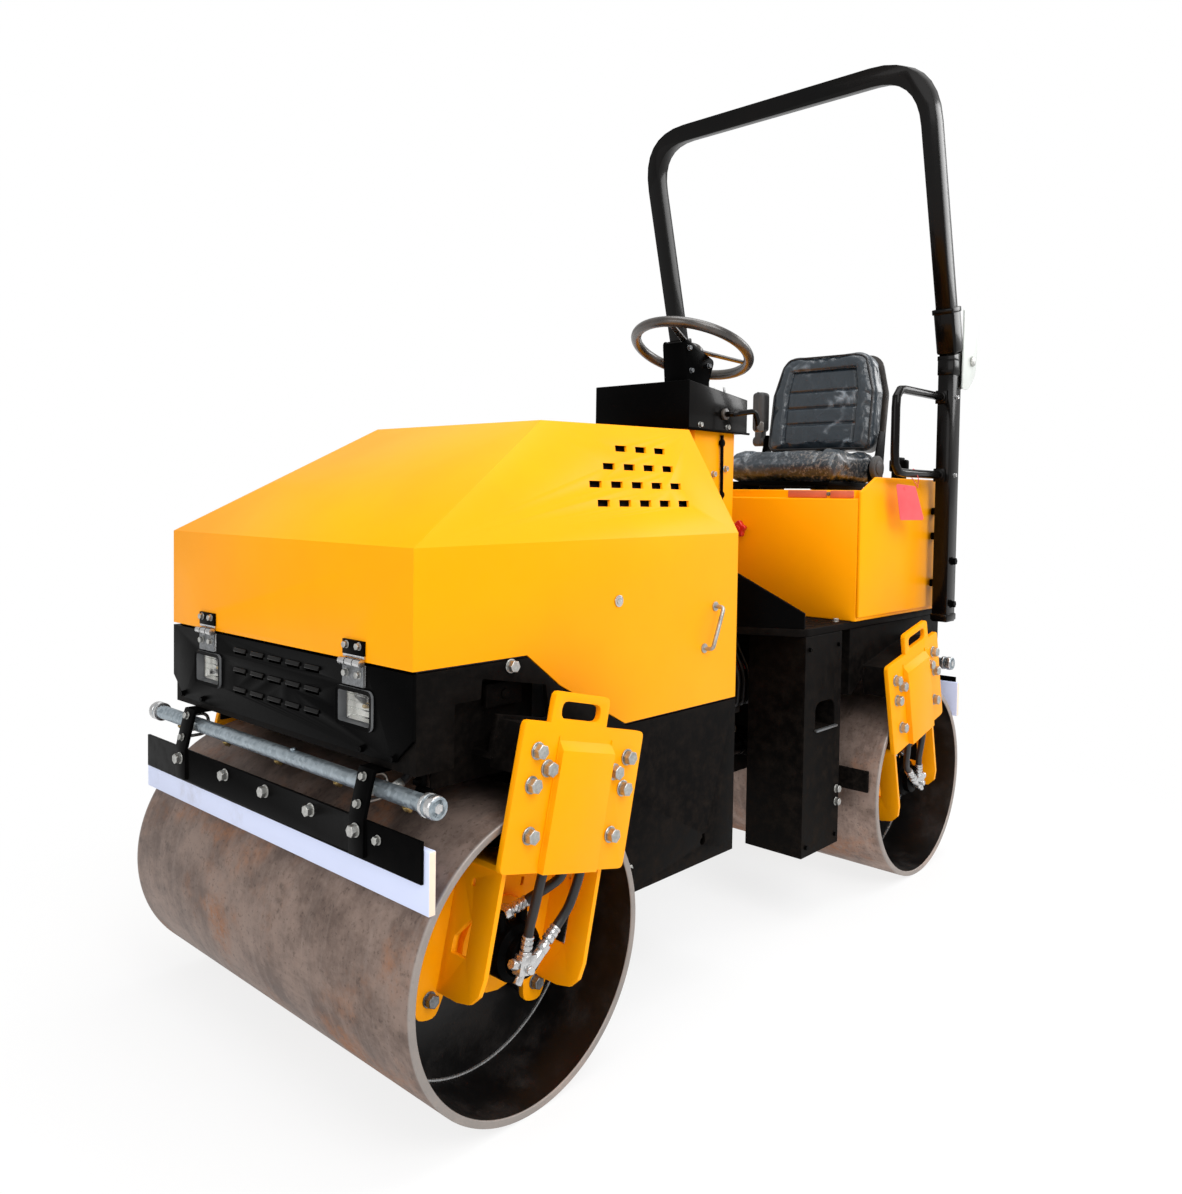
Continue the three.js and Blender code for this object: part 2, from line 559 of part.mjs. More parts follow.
// ---------------------------------------------------------------- roll-over hoop and grab rails

// A lower post: the tube, and the two ears that hold the hoop's pin behind it.
function ropsPost() {
  const { x, y, depth, width, bottom, top } = POST;
  const tube = box([x - depth / 2, x + depth / 2], [y - width / 2, y + width / 2], [bottom, top]);
  const ears = [[y - width / 2, y - width / 2 + 10], [y + width / 2 - 10, y + width / 2]].flatMap((ys) => [
    sidePrism([[x - 28, top], [x - 28, top - 90], [HOOP.pinX - HOOP.ear, top - 55, 30], [HOOP.pinX - HOOP.ear, top]], ys),
    rodY(HOOP.ear, ys, 24).translate(HOOP.pinX, 0, top),
  ]);
  const pin = rodY(10, [y - width / 2 + 5, y + width / 2 - 5], 16).translate(HOOP.pinX, 0, top);
  return weld([tube, ...ears, pin]);
}

// The bent hoop, leaning forward, with an ear behind each foot that turns on the post's pin.
function ropsHoop() {
  const { lean, base, height, bend, section, pinX, ear } = HOOP;
  const out = POST.y + POST.width / 2;
  const inn = POST.y - POST.width / 2;
  const top = height - section;
  const half = section / 2;
  const whole = frontPrism([[-out, 0], [out, 0], [out, height, bend], [-out, height, bend]], [-half, half], 8);
  const gap = frontPrism([[-inn, -50], [inn, -50], [inn, top, bend - 45], [-inn, top, bend - 45]], [-90, 90], 8);
  const hoop = weld([whole], [gap]).rotateY(lean).translate(POST.x, 0, base);
  const ys = [POST.y - 10, POST.y + 10];
  const hinge = weld([
    rodY(ear - 5, ys, 24).translate(pinX, 0, POST.top),
    sidePrism([[pinX, POST.top + 12], [pinX + 40, POST.top + 8], [POST.x - 10, base + 8], [POST.x + 10, base + 100],
      [pinX + 10, POST.top + 40]], ys),
  ], [rodY(13, [POST.y - 30, POST.y + 30], 16).translate(pinX, 0, POST.top)]);
  return weld([hoop, hinge, mirrorY(hinge)]);
}

function grabRail() {
  const from = POST.x + POST.depth / 2 + GAP;
  const { y, front, top, bottom, radius, bend } = RAIL;
  return bentBar([[from, y, top], [front, y, top], [front, y, bottom], [from, y, bottom]], radius, bend, 26);
}

node('rops_post_left', ropsPost(), BLACK);
node('rops_post_right', mirrorY(ropsPost()), BLACK);
node('rops_hoop', ropsHoop(), BLACK);
node('grab_rail_left', grabRail(), BLACK);
node('grab_rail_right', mirrorY(grabRail()), BLACK);

export default roller;
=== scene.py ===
import json
import math

import bmesh
import bpy
from mathutils import Matrix, Vector, noise as wander

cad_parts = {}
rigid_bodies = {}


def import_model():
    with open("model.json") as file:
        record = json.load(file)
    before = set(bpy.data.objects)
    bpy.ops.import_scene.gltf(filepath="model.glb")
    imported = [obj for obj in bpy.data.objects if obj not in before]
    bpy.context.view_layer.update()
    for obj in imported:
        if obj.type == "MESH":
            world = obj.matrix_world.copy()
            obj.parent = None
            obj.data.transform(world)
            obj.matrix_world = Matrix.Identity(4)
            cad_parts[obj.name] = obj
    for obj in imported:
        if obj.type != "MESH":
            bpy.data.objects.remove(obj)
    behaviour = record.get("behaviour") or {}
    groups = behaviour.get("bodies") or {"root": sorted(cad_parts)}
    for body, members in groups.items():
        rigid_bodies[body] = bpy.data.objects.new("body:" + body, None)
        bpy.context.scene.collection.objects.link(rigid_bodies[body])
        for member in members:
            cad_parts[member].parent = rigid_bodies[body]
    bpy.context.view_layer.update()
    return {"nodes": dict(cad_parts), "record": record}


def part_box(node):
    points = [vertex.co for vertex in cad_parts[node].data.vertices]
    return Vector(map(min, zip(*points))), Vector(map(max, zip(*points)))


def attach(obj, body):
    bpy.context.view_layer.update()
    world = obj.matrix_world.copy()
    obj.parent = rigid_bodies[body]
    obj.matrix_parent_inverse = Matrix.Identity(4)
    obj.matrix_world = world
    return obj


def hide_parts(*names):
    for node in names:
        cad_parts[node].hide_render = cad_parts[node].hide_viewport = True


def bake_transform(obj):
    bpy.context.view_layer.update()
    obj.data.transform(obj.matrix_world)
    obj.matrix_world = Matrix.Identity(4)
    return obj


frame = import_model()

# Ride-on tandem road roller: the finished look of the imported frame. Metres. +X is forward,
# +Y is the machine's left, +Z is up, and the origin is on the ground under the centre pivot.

LEFT, RIGHT, FRONT, REAR = 1, -1, 1, -1
ENDS = ((FRONT, "front"), (REAR, "rear"))
SIDES = ((LEFT, "left"), (RIGHT, "right"))
TILT = math.radians(13)            # of the drum brackets
LEAN = math.radians(15)            # of the roll-over hoop
AXLE_X, AXLE_Z, DRUM_R = 0.8, 0.2794, 0.2794
bodies = frame["record"]["behaviour"]["bodies"]
home = {node: body for body, nodes in bodies.items() for node in nodes}
slots = {part["node"]: part["material_slot"] for part in frame["record"]["subparts"]}
MIRROR_Y = Matrix.Diagonal((1, -1, 1, 1))
BOTH = (Matrix.Identity(4), MIRROR_Y)
# An outline's own plane, stood up: SIDEWAYS draws it in X and Z and thickens it towards the right,
# and ACROSS draws it in Y and Z and thickens it forward.
SIDEWAYS = Matrix(((1, 0, 0, 0), (0, 0, -1, 0), (0, 1, 0, 0), (0, 0, 0, 1)))
ACROSS = Matrix(((0, 0, 1, 0), (1, 0, 0, 0), (0, 1, 0, 0), (0, 0, 0, 1)))


# ------------------------------------------------------------------ finishes

class Wire:
    """A value or colour running between two nodes of a finish, with Python's arithmetic."""

    def __init__(self, finish, socket):
        self.finish, self.socket = finish, socket

    def maths(self, operation, *values):
        return self.finish.add("Math", {"operation": operation}, *values)

    def __add__(self, other):
        return self.maths("ADD", self, other)

    def __sub__(self, other):
        return self.maths("SUBTRACT", self, other)

    def __mul__(self, other):
        return self.maths("MULTIPLY", self, other)

    def __radd__(self, other):
        return self.maths("ADD", other, self)

    def __rsub__(self, other):
        return self.maths("SUBTRACT", other, self)

    def __rmul__(self, other):
        return self.maths("MULTIPLY", other, self)

    def between(self, low, high):
        """0 below low, 1 above high, and smooth in between."""
        settings = {"interpolation_type": "SMOOTHSTEP"}
        return self.finish.add("MapRange", settings, Value=self, From_Min=low, From_Max=high)


class Finish:
    """One material, built up from nodes."""

    def __init__(self, name, colour, roughness, metallic=0.0, **fixed):
        self.material = bpy.data.materials.new(name)
        self.material.use_nodes = True
        self.tree = self.material.node_tree
        self.shader = self.tree.nodes["Principled BSDF"]
        self.set(Base_Color=(*colour, 1.0), Roughness=roughness, Metallic=metallic, **fixed)
        self.material.diffuse_color = (*colour, 1.0)
        self.places = {}

    def set(self, **values):
        self.plug(self.shader, values)
        return self

    def size(self, wire):
        """A value without its sign."""
        return wire.maths("ABSOLUTE", wire)

    def plug(self, node, values):
        """Links or sets a node's sockets, by name or by number."""
        for name, value in values.items():
            socket = node.inputs[name.replace("_", " ")] if isinstance(name, str) else node.inputs[name]
            if isinstance(value, Wire):
                self.tree.links.new(value.socket, socket)
            else:
                socket.default_value = value

    def add(self, kind, settings, *values, out=0, **named):
        """A new node: its settings first, then its sockets, and the output that is wanted."""
        node = self.tree.nodes.new("ShaderNode" + kind)
        for name, value in settings.items():
            setattr(node, name, value)
        self.plug(node, dict(enumerate(values)))
        self.plug(node, named)
        return Wire(self, node.outputs[out])

    def place(self, centre=(0, 0, 0), scale=(1, 1, 1)):
        """The point on the surface, from a centre, in metres, stretched by a scale."""
        key = (tuple(centre), tuple(scale))
        if key not in self.places:
            spot = self.add("TexCoord", {}, out="Object")
            off = self.add("VectorMath", {"operation": "SUBTRACT"}, spot, tuple(centre))
            self.places[key] = self.add("VectorMath", {"operation": "MULTIPLY"}, off, tuple(scale))
        return self.places[key]

    def axis(self, name, centre=(0, 0, 0)):
        """One coordinate of the point on the surface."""
        return self.add("SeparateXYZ", {}, self.place(centre), out=name)

    def cloud(self, scale, detail=3.0, rough=0.55, where=None, seed=0.0):
        """Soft blotches from 0 to 1, so many to the metre."""
        settings = {"noise_dimensions": "4D"}
        return self.add("TexNoise", settings, Vector=where or self.place(), W=seed, Scale=scale,
                        Detail=detail, Roughness=rough)

    def cells(self, scale, where=None, out="Distance"):
        """Cells, so many to the metre: the distance to each cell's middle, or a colour for each."""
        return self.add("TexVoronoi", {}, Vector=where or self.place(), Scale=scale, out=out)

    def mix(self, mask, low, high):
        """One colour where the mask is 0, and another where it is 1."""
        low, high = [v if isinstance(v, Wire) else (*v, 1.0) for v in (low, high)]
        node = self.tree.nodes.new("ShaderNodeMix")
        node.data_type = "RGBA"
        self.plug(node, {0: mask, 6: low, 7: high})
        return Wire(self, node.outputs[2])

    def upward(self):
        """How far the surface faces the sky, from -1 to 1."""
        return self.add("SeparateXYZ", {}, self.add("NewGeometry", {}, out="Normal"), out="Z")

    def bumps(self, height, distance, strength=1.0):
        self.set(Normal=self.add("Bump", {}, Height=height, Distance=distance, Strength=strength))
        return self


def paint(name, colour, shade, dust, dusty, gloss, level, coat):
    """Paint with a faint orange peel, and dust that settles low down and on flat tops."""
    f = Finish(name, colour, gloss, Specular_IOR_Level=level, Coat_Roughness=0.07, Coat_Weight=coat)
    patch = f.cloud(2.6, 4.0)
    low = 1 - f.axis("Z").between(0.15, 0.9)
    fine = f.cloud(38, 5.0, 0.7).between(0.38, 0.75)
    on_tops = f.upward().between(0.5, 1.0) * f.cloud(9, 4.0).between(0.35, 0.8) * 0.5
    film = (fine * (0.25 + 0.75 * low) + on_tops) * dusty
    f.set(Base_Color=f.mix(film, f.mix(patch.between(0.3, 0.75), colour, shade), dust),
          Roughness=gloss + 0.12 * patch + 0.45 * film)
    return f.bumps(f.cloud(260, 2.0) * 0.6 + fine * dusty, 0.0006, 0.25).material


def drum_steel(name, centre, pale):
    """Rolled plate that has run on the ground: streaked round the drum, scuffed and rusty. pale lightens most
    of its colours, painted light that lifts a drum standing in shade.
    """
    # tone makes a colour lighter by pale: a painted lift of light, not a paler steel.
    def tone(*colour):
        return tuple(pale * part for part in colour)

    f = Finish(name, (0.15, 0.125, 0.105), 0.5, 0.55)
    c = (centre, 0, AXLE_Z)
    round_way = f.cloud(1.0, 6.0, 0.7, f.place(c, (5, 60, 5)), 1.0)
    across = f.cloud(1.0, 5.0, 0.7, f.place(c, (30, 5, 30)), 2.0)
    mottle = f.cloud(9, 8.0, 0.72, f.place(c), 3.0)
    flakes = f.cloud(46, 6.0, 0.8, f.place(c), 4.0)
    rust = f.cloud(3.4, 6.0, 0.65, f.place(c), 5.0).between(0.49, 0.66) * flakes.between(0.32, 0.6)
    pits = f.cells(85, where=f.place(c)).between(0.02, 0.16)
    speck = f.cloud(120, 3.0, 0.6, f.place(c), 6.0).between(0.56, 0.68)
    blot = f.cloud(13, 5.0, 0.7, f.place(c), 7.0).between(0.60, 0.70)
    steel = f.mix(mottle.between(0.36, 0.64), tone(0.138, 0.097, 0.080), tone(0.295, 0.218, 0.182))
    steel = f.mix(round_way.between(0.45, 0.7) * 0.3, steel, tone(0.34, 0.27, 0.235))
    steel = f.mix(across.between(0.52, 0.72) * 0.35, steel, tone(0.11, 0.076, 0.06))
    steel = f.mix(rust * 0.9, steel, tone(0.30, 0.120, 0.045))
    steel = f.mix(speck * 0.45, steel, tone(0.06, 0.042, 0.034))
    steel = f.mix(blot * 0.55, steel, tone(0.075, 0.055, 0.046))
    steel = f.mix((1 - pits) * 0.35, steel, (0.06, 0.045, 0.038))
    # A lighter band at each end of the drum: partly worn bare steel and partly a painted glint.
    edge = f.size(f.axis("Y")).between(0.492, 0.4985)
    steel = f.mix(edge * 0.6, steel, (0.42, 0.40, 0.38))
    f.set(Base_Color=steel, Roughness=0.42 + 0.3 * mottle + 0.2 * rust, Metallic=0.75 - 0.6 * rust)
    return f.bumps(mottle * 0.6 + round_way * 0.4 + flakes * 0.25 + pits * 0.3, 0.0016, 0.55).material


def metal(name, colour, worn, roughness=0.35, grain=160, metallic=0.9):
    """Plated or bare metal with a dull bloom over it."""
    f = Finish(name, colour, roughness, metallic)
    bloom = f.cloud(grain, 5.0, 0.65).between(0.35, 0.7)
    stain = f.cloud(grain / 7, 4.0, 0.6, seed=2.0).between(0.5, 0.75)
    f.set(Base_Color=f.mix(stain * 0.6, f.mix(bloom, colour, worn), tuple(0.45 * v for v in worn)),
          Roughness=roughness + 0.18 * bloom + 0.2 * stain)
    return f.bumps(bloom + stain, 0.0004, 0.3).material


def galvanised():
    """Hot-dip zinc with its pale spangle."""
    f = Finish("galvanised", (0.40, 0.48, 0.53), 0.34, 0.75)
    spangle = f.cells(150, out="Color")
    tone = f.add("SeparateXYZ", {}, spangle, out="X")
    streak = f.cloud(1.0, 4.0, 0.6, f.place(scale=(90, 9, 90)))
    colour = f.mix(tone, (0.25, 0.30, 0.335), (0.41, 0.47, 0.51))
    f.set(Base_Color=f.mix(streak.between(0.5, 0.75) * 0.5, colour, (0.26, 0.27, 0.26)),
          Roughness=0.28 + 0.2 * tone)
    return f.bumps(tone + streak, 0.0003, 0.3).material


def moulded(name, colour, lighter, roughness, grain=900, coat=0.0, depth=0.0002):
    """Plastic or rubber with a fine grain and handled patches."""
    f = Finish(name, colour, roughness, Coat_Roughness=0.12, Coat_Weight=coat)
    grains = f.cells(grain)
    patch = f.cloud(14, 4.0).between(0.35, 0.7)
    f.set(Base_Color=f.mix(patch, colour, lighter), Roughness=roughness + 0.16 * patch)
    return f.bumps(grains + patch * 0.4, depth, 0.5).material


def filmed_vinyl():
    """Grained vinyl under a thin clear film, which is creased. Its creases carry painted highlights, and its
    crumpled film low on the cushion a painted sheen.
    """
    f = Finish("seat_vinyl", (0.012, 0.016, 0.024), 0.3, Coat_Roughness=0.12, Coat_Weight=0.35)
    eddy = f.add("TexNoise", {}, f.place(), Scale=9.0, Detail=2.0, out="Color")
    drift = f.add("VectorMath", {"operation": "SCALE"}, eddy, Scale=0.09)
    adrift = f.add("VectorMath", {"operation": "ADD"}, f.place(), drift)
    fold = f.add("TexNoise", {"noise_type": "RIDGED_MULTIFRACTAL"}, Vector=adrift, Scale=13.0,
                 Detail=4.0, Roughness=0.5, Offset=0.92, Gain=2.0)
    crease = fold.between(0.9, 1.9)
    # Painted highlights: whitish glints along some of the film's creases.
    bright = crease * f.cloud(5, 2.0, seed=4.0).between(0.5, 0.62)
    low = 1 - f.axis("Z").between(1.266, 1.284)
    # Crumpled film low on the cushion, whose lighter colour is a painted sheen.
    bunched_and_sheen = f.cloud(95, 5.0, 0.65, seed=6.0).between(0.48, 0.70) * low
    # The painted sheen grows lighter and warmer towards the machine's left, which is painted light.
    side = f.axis("Y").between(0.06, 0.18) * low
    skin = f.mix(f.cloud(24, 3.0), (0.010, 0.016, 0.022), (0.024, 0.036, 0.048))
    skin = f.mix(bunched_and_sheen * (0.35 + 0.35 * side), skin, f.mix(side, (0.24, 0.26, 0.29), (0.33, 0.29, 0.25)))
    f.set(Base_Color=f.mix(bright * 0.8, skin, (0.46, 0.52, 0.58)),
          Roughness=0.26 + 0.2 * f.cloud(30, 3.0, seed=1.0))
    return f.bumps(crease * 0.8 + bunched_and_sheen * 0.5 + f.cells(700) * 0.03, 0.004, 0.5).material


def sawn_nylon():
    """Pale nylon sheet with fine saw marks across its edges."""
    f = Finish("scraper_nylon", (0.72, 0.76, 0.95), 0.42)
    marks = f.cloud(1.0, 3.0, 0.6, f.place(scale=(300, 12, 300)))
    grime = f.cloud(7, 6.0, 0.7).between(0.52, 0.74)
    end = f.size(f.axis("Y")).between(0.5092, 0.5098)
    colour = f.mix(grime * 0.5, f.mix(end, (0.62, 0.68, 0.90), (0.86, 0.68, 0.52)), (0.42, 0.40, 0.42))
    f.set(Base_Color=colour, Roughness=0.36 + 0.2 * grime)
    return f.bumps(marks, 0.0006, 0.3).material


YELLOW = paint("yellow_paint", (1.0, 0.380, 0.0), (0.96, 0.345, 0.0), (0.66, 0.36, 0.07),
               dusty=0.07, gloss=0.34, level=0.09, coat=0.0)
BLACK = paint("black_paint", (0.0006, 0.0006, 0.0007), (0.0012, 0.0012, 0.0012), (0.006, 0.005, 0.0045),
              dusty=0.3, gloss=0.26, level=0.02, coat=0.0)
# gloss_black's brownish second tone is a painted reflection, spread in random patches over the black.
GLOSS = paint("gloss_black", (0.0010, 0.0010, 0.0010), (0.003, 0.002, 0.0015), (0.018, 0.014, 0.011),
              dusty=0.2, gloss=0.15, level=0.10, coat=0.10)
DUSTY = paint("dusty_black", (0.0014, 0.0012, 0.0012), (0.004, 0.0034, 0.003), (0.017, 0.0130, 0.0105),
              dusty=1.0, gloss=0.42, level=0.03, coat=0.0)
PALE = paint("pale_paint", (0.66, 0.69, 0.66), (0.56, 0.59, 0.56), (0.42, 0.42, 0.38),
             dusty=0.35, gloss=0.35, level=0.3, coat=0.1)
# The rear drum's steel is a lighter copy of the front drum's: painted light, which lifts the rear drum out of
# its shade.
STEEL = {FRONT: drum_steel("front_drum_steel", AXLE_X, pale=1.0),
         REAR: drum_steel("rear_drum_steel", -AXLE_X, pale=1.4)}
ZINC = metal("zinc_plate", (0.50, 0.50, 0.48), (0.36, 0.36, 0.34), 0.3)
BRIGHT = metal("bright_steel", (0.62, 0.62, 0.62), (0.5, 0.5, 0.5), 0.16, 240)
HINGE_GREY = metal("hinge_grey", (0.22, 0.23, 0.24), (0.15, 0.155, 0.16), 0.4)
CASTING = metal("motor_casting", (0.075, 0.075, 0.08), (0.16, 0.15, 0.14), 0.5, 120, 0.5)
PIPE = galvanised()
NYLON = sawn_nylon()
RUBBER = moulded("hose_rubber", (0.005, 0.005, 0.006), (0.013, 0.012, 0.012), 0.36, 1200)
GREY = moulded("grey_plastic", (0.12, 0.125, 0.13), (0.19, 0.195, 0.2), 0.45)
RIM = moulded("rim_plastic", (0.022, 0.019, 0.017), (0.055, 0.046, 0.038), 0.24, 1400, 0.5)
VINYL = filmed_vinyl()
CLEAR = Finish("lamp_glass", (0.95, 0.96, 0.95), 0.06, Transmission_Weight=1.0, IOR=1.47).material
MIRROR_CHROME = metal("reflector_chrome", (0.98, 0.96, 0.92), (0.90, 0.87, 0.82), 0.34, 60, 0.55)
RED = moulded("red_plastic", (0.62, 0.012, 0.010), (0.45, 0.02, 0.015), 0.32, 1500, 0.3)
TAG_RED = moulded("tag_card", (0.80, 0.085, 0.095), (0.68, 0.07, 0.08), 0.55, 1600)
STRIP_RED = moulded("rubber_strip", (0.66, 0.15, 0.075), (0.54, 0.12, 0.06), 0.5, 1200)
DARK_GREY = moulded("dark_grey_plastic", (0.026, 0.026, 0.028), (0.052, 0.051, 0.050), 0.5)
BRASS = metal("brass", (0.52, 0.36, 0.13), (0.36, 0.25, 0.10), 0.3, 200)
finish_of = {"yellow_paint": YELLOW, "black_paint": BLACK, "motor_casting": CASTING, "zinc_pipe": PIPE,
             "scraper_nylon": NYLON, "seat_vinyl": VINYL, "grey_plastic": GREY, "rim_plastic": RIM}


# ------------------------------------------------------------------ making pieces

def only(piece):
    """Makes one piece the selected and active one."""
    if bpy.context.object and bpy.context.object.mode == "EDIT":
        bpy.ops.object.mode_set(mode="OBJECT")
    for other in bpy.context.view_layer.objects:
        other.select_set(False)
    bpy.context.view_layer.objects.active = piece
    piece.select_set(True)
    return piece


def take(name):
    """The primitive that has just been added, named, with its place put into its mesh."""
    piece = bpy.context.object
    piece.name = piece.data.name = name
    only(piece)
    bpy.ops.object.transform_apply(location=True, rotation=True, scale=True)
    return piece


def modify(piece, kind, **settings):
    """Adds a modifier and applies it."""
    only(piece)
    step = piece.modifiers.new(kind.lower(), kind)
    for name, value in settings.items():
        setattr(step, name, value)
    bpy.ops.object.modifier_apply(modifier=step.name)
    return piece


def ease(piece, width, segments=2, angle=30):
    """Rounds the sharp edges and smooths the shading."""
    if width:
        modify(piece, "BEVEL", width=width, segments=segments, limit_method="ANGLE",
               angle_limit=math.radians(angle), harden_normals=False)
    only(piece)
    bpy.ops.object.shade_smooth_by_angle(angle=math.radians(38))
    return piece


def choose(piece, test, kind="faces"):
    """Opens a piece in edit mode with the faces or edges that pass a test selected."""
    only(piece)
    bpy.ops.object.mode_set(mode="EDIT")
    bpy.ops.mesh.select_mode(type="FACE" if kind == "faces" else "EDGE")
    bpy.ops.mesh.select_all(action="DESELECT")
    mesh = bmesh.from_edit_mesh(piece.data)
    for element in getattr(mesh, kind):
        if test(element):
            element.select_set(True)
    bmesh.update_edit_mesh(piece.data)


def close():
    """Leaves edit mode."""
    bpy.ops.object.mode_set(mode="OBJECT")


def faces(way):
    """The test for a face that looks a given way."""
    way = Vector(way).normalized()
    return lambda face: face.normal.dot(way) > 0.9


def fit(piece, finish, body):
    """Gives a piece its finish and the body that it rides on."""
    piece.data.materials.clear()
    piece.data.materials.append(finish)
    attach(piece, body)
    return piece


def block(name, low, high, soft=0.002, segments=2):
    """A box between its lowest and highest corners, with eased edges."""
    low, high = Vector(low), Vector(high)
    bpy.ops.mesh.primitive_cube_add(size=1, location=(low + high) / 2, scale=high - low)
    return ease(take(name), soft, segments)


def spread(side, inner, outer):
    """A piece's two Y values on one side of the machine, the lower one first."""
    return sorted((side * inner, side * outer))


def aimed(way):
    """The turn that brings +Z onto a direction."""
    return Vector(way).to_track_quat("Z", "Y").to_euler()


def rod(name, start, end, radius, sides=24, soft=0.0015, segments=2):
    """A round or many-sided bar from one point to another, with eased ends."""
    start, end = Vector(start), Vector(end)
    bpy.ops.mesh.primitive_cylinder_add(vertices=sides, radius=radius, depth=(end - start).length,
                                        location=(start + end) / 2, rotation=aimed(end - start))
    return ease(take(name), soft, segments)


def rounded_corners(corners, steps=5):
    """The corners of an outline, each [across, up, radius], with the radii turned into arcs."""
    outline = []
    for i, (x, y, *radius) in enumerate(corners):
        here = Vector((x, y))
        if not radius:
            outline.append(here)
            continue
        before = Vector(corners[i - 1][:2]) - here
        after = Vector(corners[(i + 1) % len(corners)][:2]) - here
        half = before.angle(after) / 2
        reach = min(radius[0] / math.tan(half), 0.48 * before.length, 0.48 * after.length)
        r = reach * math.tan(half)
        middle = here + (before.normalized() + after.normalized()).normalized() * (r / math.sin(half))
        first = here + before.normalized() * reach - middle
        last = here + after.normalized() * reach - middle
        sweep = first.angle_signed(last)
        outline += [middle + Matrix.Rotation(-sweep * k / steps, 2) @ first for k in range(steps + 1)]
    return outline


def plate(name, corners, thickness, frame_of=Matrix.Identity(4), soft=0.0012, segments=2):
    """A flat plate from its outline, in the XY plane of a frame, thickened along that frame's +Z."""
    outline = rounded_corners(corners)
    bpy.ops.mesh.primitive_circle_add(vertices=len(outline), fill_type="NGON")
    piece = take(name)
    for vertex, spot in zip(piece.data.vertices, outline):
        vertex.co = (spot.x, spot.y, 0)
    choose(piece, lambda face: True)
    bpy.ops.mesh.extrude_region_move(TRANSFORM_OT_translate={"value": (0, 0, thickness)})
    bpy.ops.mesh.select_all(action="SELECT")
    bpy.ops.mesh.normals_make_consistent(inside=False)
    close()
    piece.data.transform(frame_of)
    return ease(piece, soft, segments)


def bent(name, points, radius, bend=0.02, steps=6, sides=8):
    """A round bar or hose through points, bent to a radius at each of them."""
    points = [Vector(p) for p in points]
    path = [points[0]]
    for before, here, after in zip(points, points[1:], points[2:]):
        a, b = (before - here), (after - here)
        reach = min(bend, 0.45 * a.length, 0.45 * b.length)
        a, b = here + a.normalized() * reach, here + b.normalized() * reach
        for k in range(steps + 1):
            t = k / steps
            path.append(a * (1 - t) ** 2 + here * 2 * t * (1 - t) + b * t * t)
    path.append(points[-1])
    curve = bpy.data.curves.new(name, "CURVE")
    curve.dimensions = "3D"
    curve.bevel_depth, curve.bevel_resolution, curve.use_fill_caps = radius, sides // 2, True
    spline = curve.splines.new("POLY")
    spline.points.add(len(path) - 1)
    for point, spot in zip(spline.points, path):
        point.co = (*spot, 1)
    piece = bpy.data.objects.new(name, curve)
    bpy.context.scene.collection.objects.link(piece)
    only(piece)
    bpy.ops.object.convert(target="MESH")
    piece = bpy.context.object
    choose(piece, lambda face: True)
    bpy.ops.mesh.remove_doubles(threshold=1e-6)
    bpy.ops.mesh.normals_make_consistent(inside=False)
    close()
    return ease(piece, 0)


def join(name, pieces):
    """Several pieces made into one."""
    only(pieces[0])
    for piece in pieces:
        piece.select_set(True)
    if len(pieces) > 1:
        bpy.ops.object.join()
    piece = bpy.context.object
    piece.name = piece.data.name = name
    return piece


def turned(name, axis, *steps):
    """Rods end to end along a place's +X, each from, to, radius, sides and edge, as on a lathe."""
    made = [rod(name, axis @ Vector((start, 0, 0)), axis @ Vector((stop, 0, 0)), *shape)
            for start, stop, *shape in steps]
    return join(name, made)


def copies(name, model, places, keep=False):
    """Copies of a model, one for each place, joined into one piece. The model goes unless kept."""
    made = []
    for place in places:
        copy = bpy.data.objects.new(name, model.data.copy())
        bpy.context.scene.collection.objects.link(copy)
        copy.data.transform(place)
        if place.determinant() < 0:
            copy.data.flip_normals()
        made.append(copy)
    if not keep:
        drop(model)
    return join(name, made)


def drop(model):
    bpy.data.objects.remove(model)


def tint(piece, finish, test):
    """A second finish on the faces whose middles pass a test."""
    piece.data.materials.append(finish)
    for face in piece.data.polygons:
        if test(face.center):
            face.material_index = len(piece.data.materials) - 1
    return piece


def at(spot, way=(0, 0, 1), turn=0.0):
    """A place for a model that was made at the origin, looking along +Z."""
    return Matrix.Translation(spot) @ aimed(way).to_matrix().to_4x4() @ Matrix.Rotation(turn, 4, "Z")


def corner(end, side):
    """From a bracket's own frame, u forward, v outward and w up from the drum's axis, to a corner."""
    tilt = Matrix.Translation((AXLE_X, 0, AXLE_Z)) @ Matrix.Rotation(-TILT, 4, "Y")
    return Matrix.Diagonal((end, side, 1, 1)) @ tilt


def finished(node, name, finish=None, width=0.0015, segments=2, angle=30, cut=None):
    """The frame's own shape with its edges eased, in its finish. cut takes openings out of it."""
    source = frame["nodes"][node]
    piece = bpy.data.objects.new(name, source.data.copy())
    bpy.context.scene.collection.objects.link(piece)
    choose(piece, lambda face: True)
    bpy.ops.mesh.remove_doubles(threshold=2e-5)
    close()
    for tool in cut or []:
        modify(piece, "BOOLEAN", operation="DIFFERENCE", object=tool, solver="EXACT", use_self=True)
        drop(tool)
    choose(piece, lambda face: True)
    bpy.ops.mesh.dissolve_limited(angle_limit=math.radians(0.6))
    close()
    ease(piece, width, segments, angle)
    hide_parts(node)
    return fit(piece, finish or finish_of[slots[node]], home[node])


# ------------------------------------------------------------------ bolts

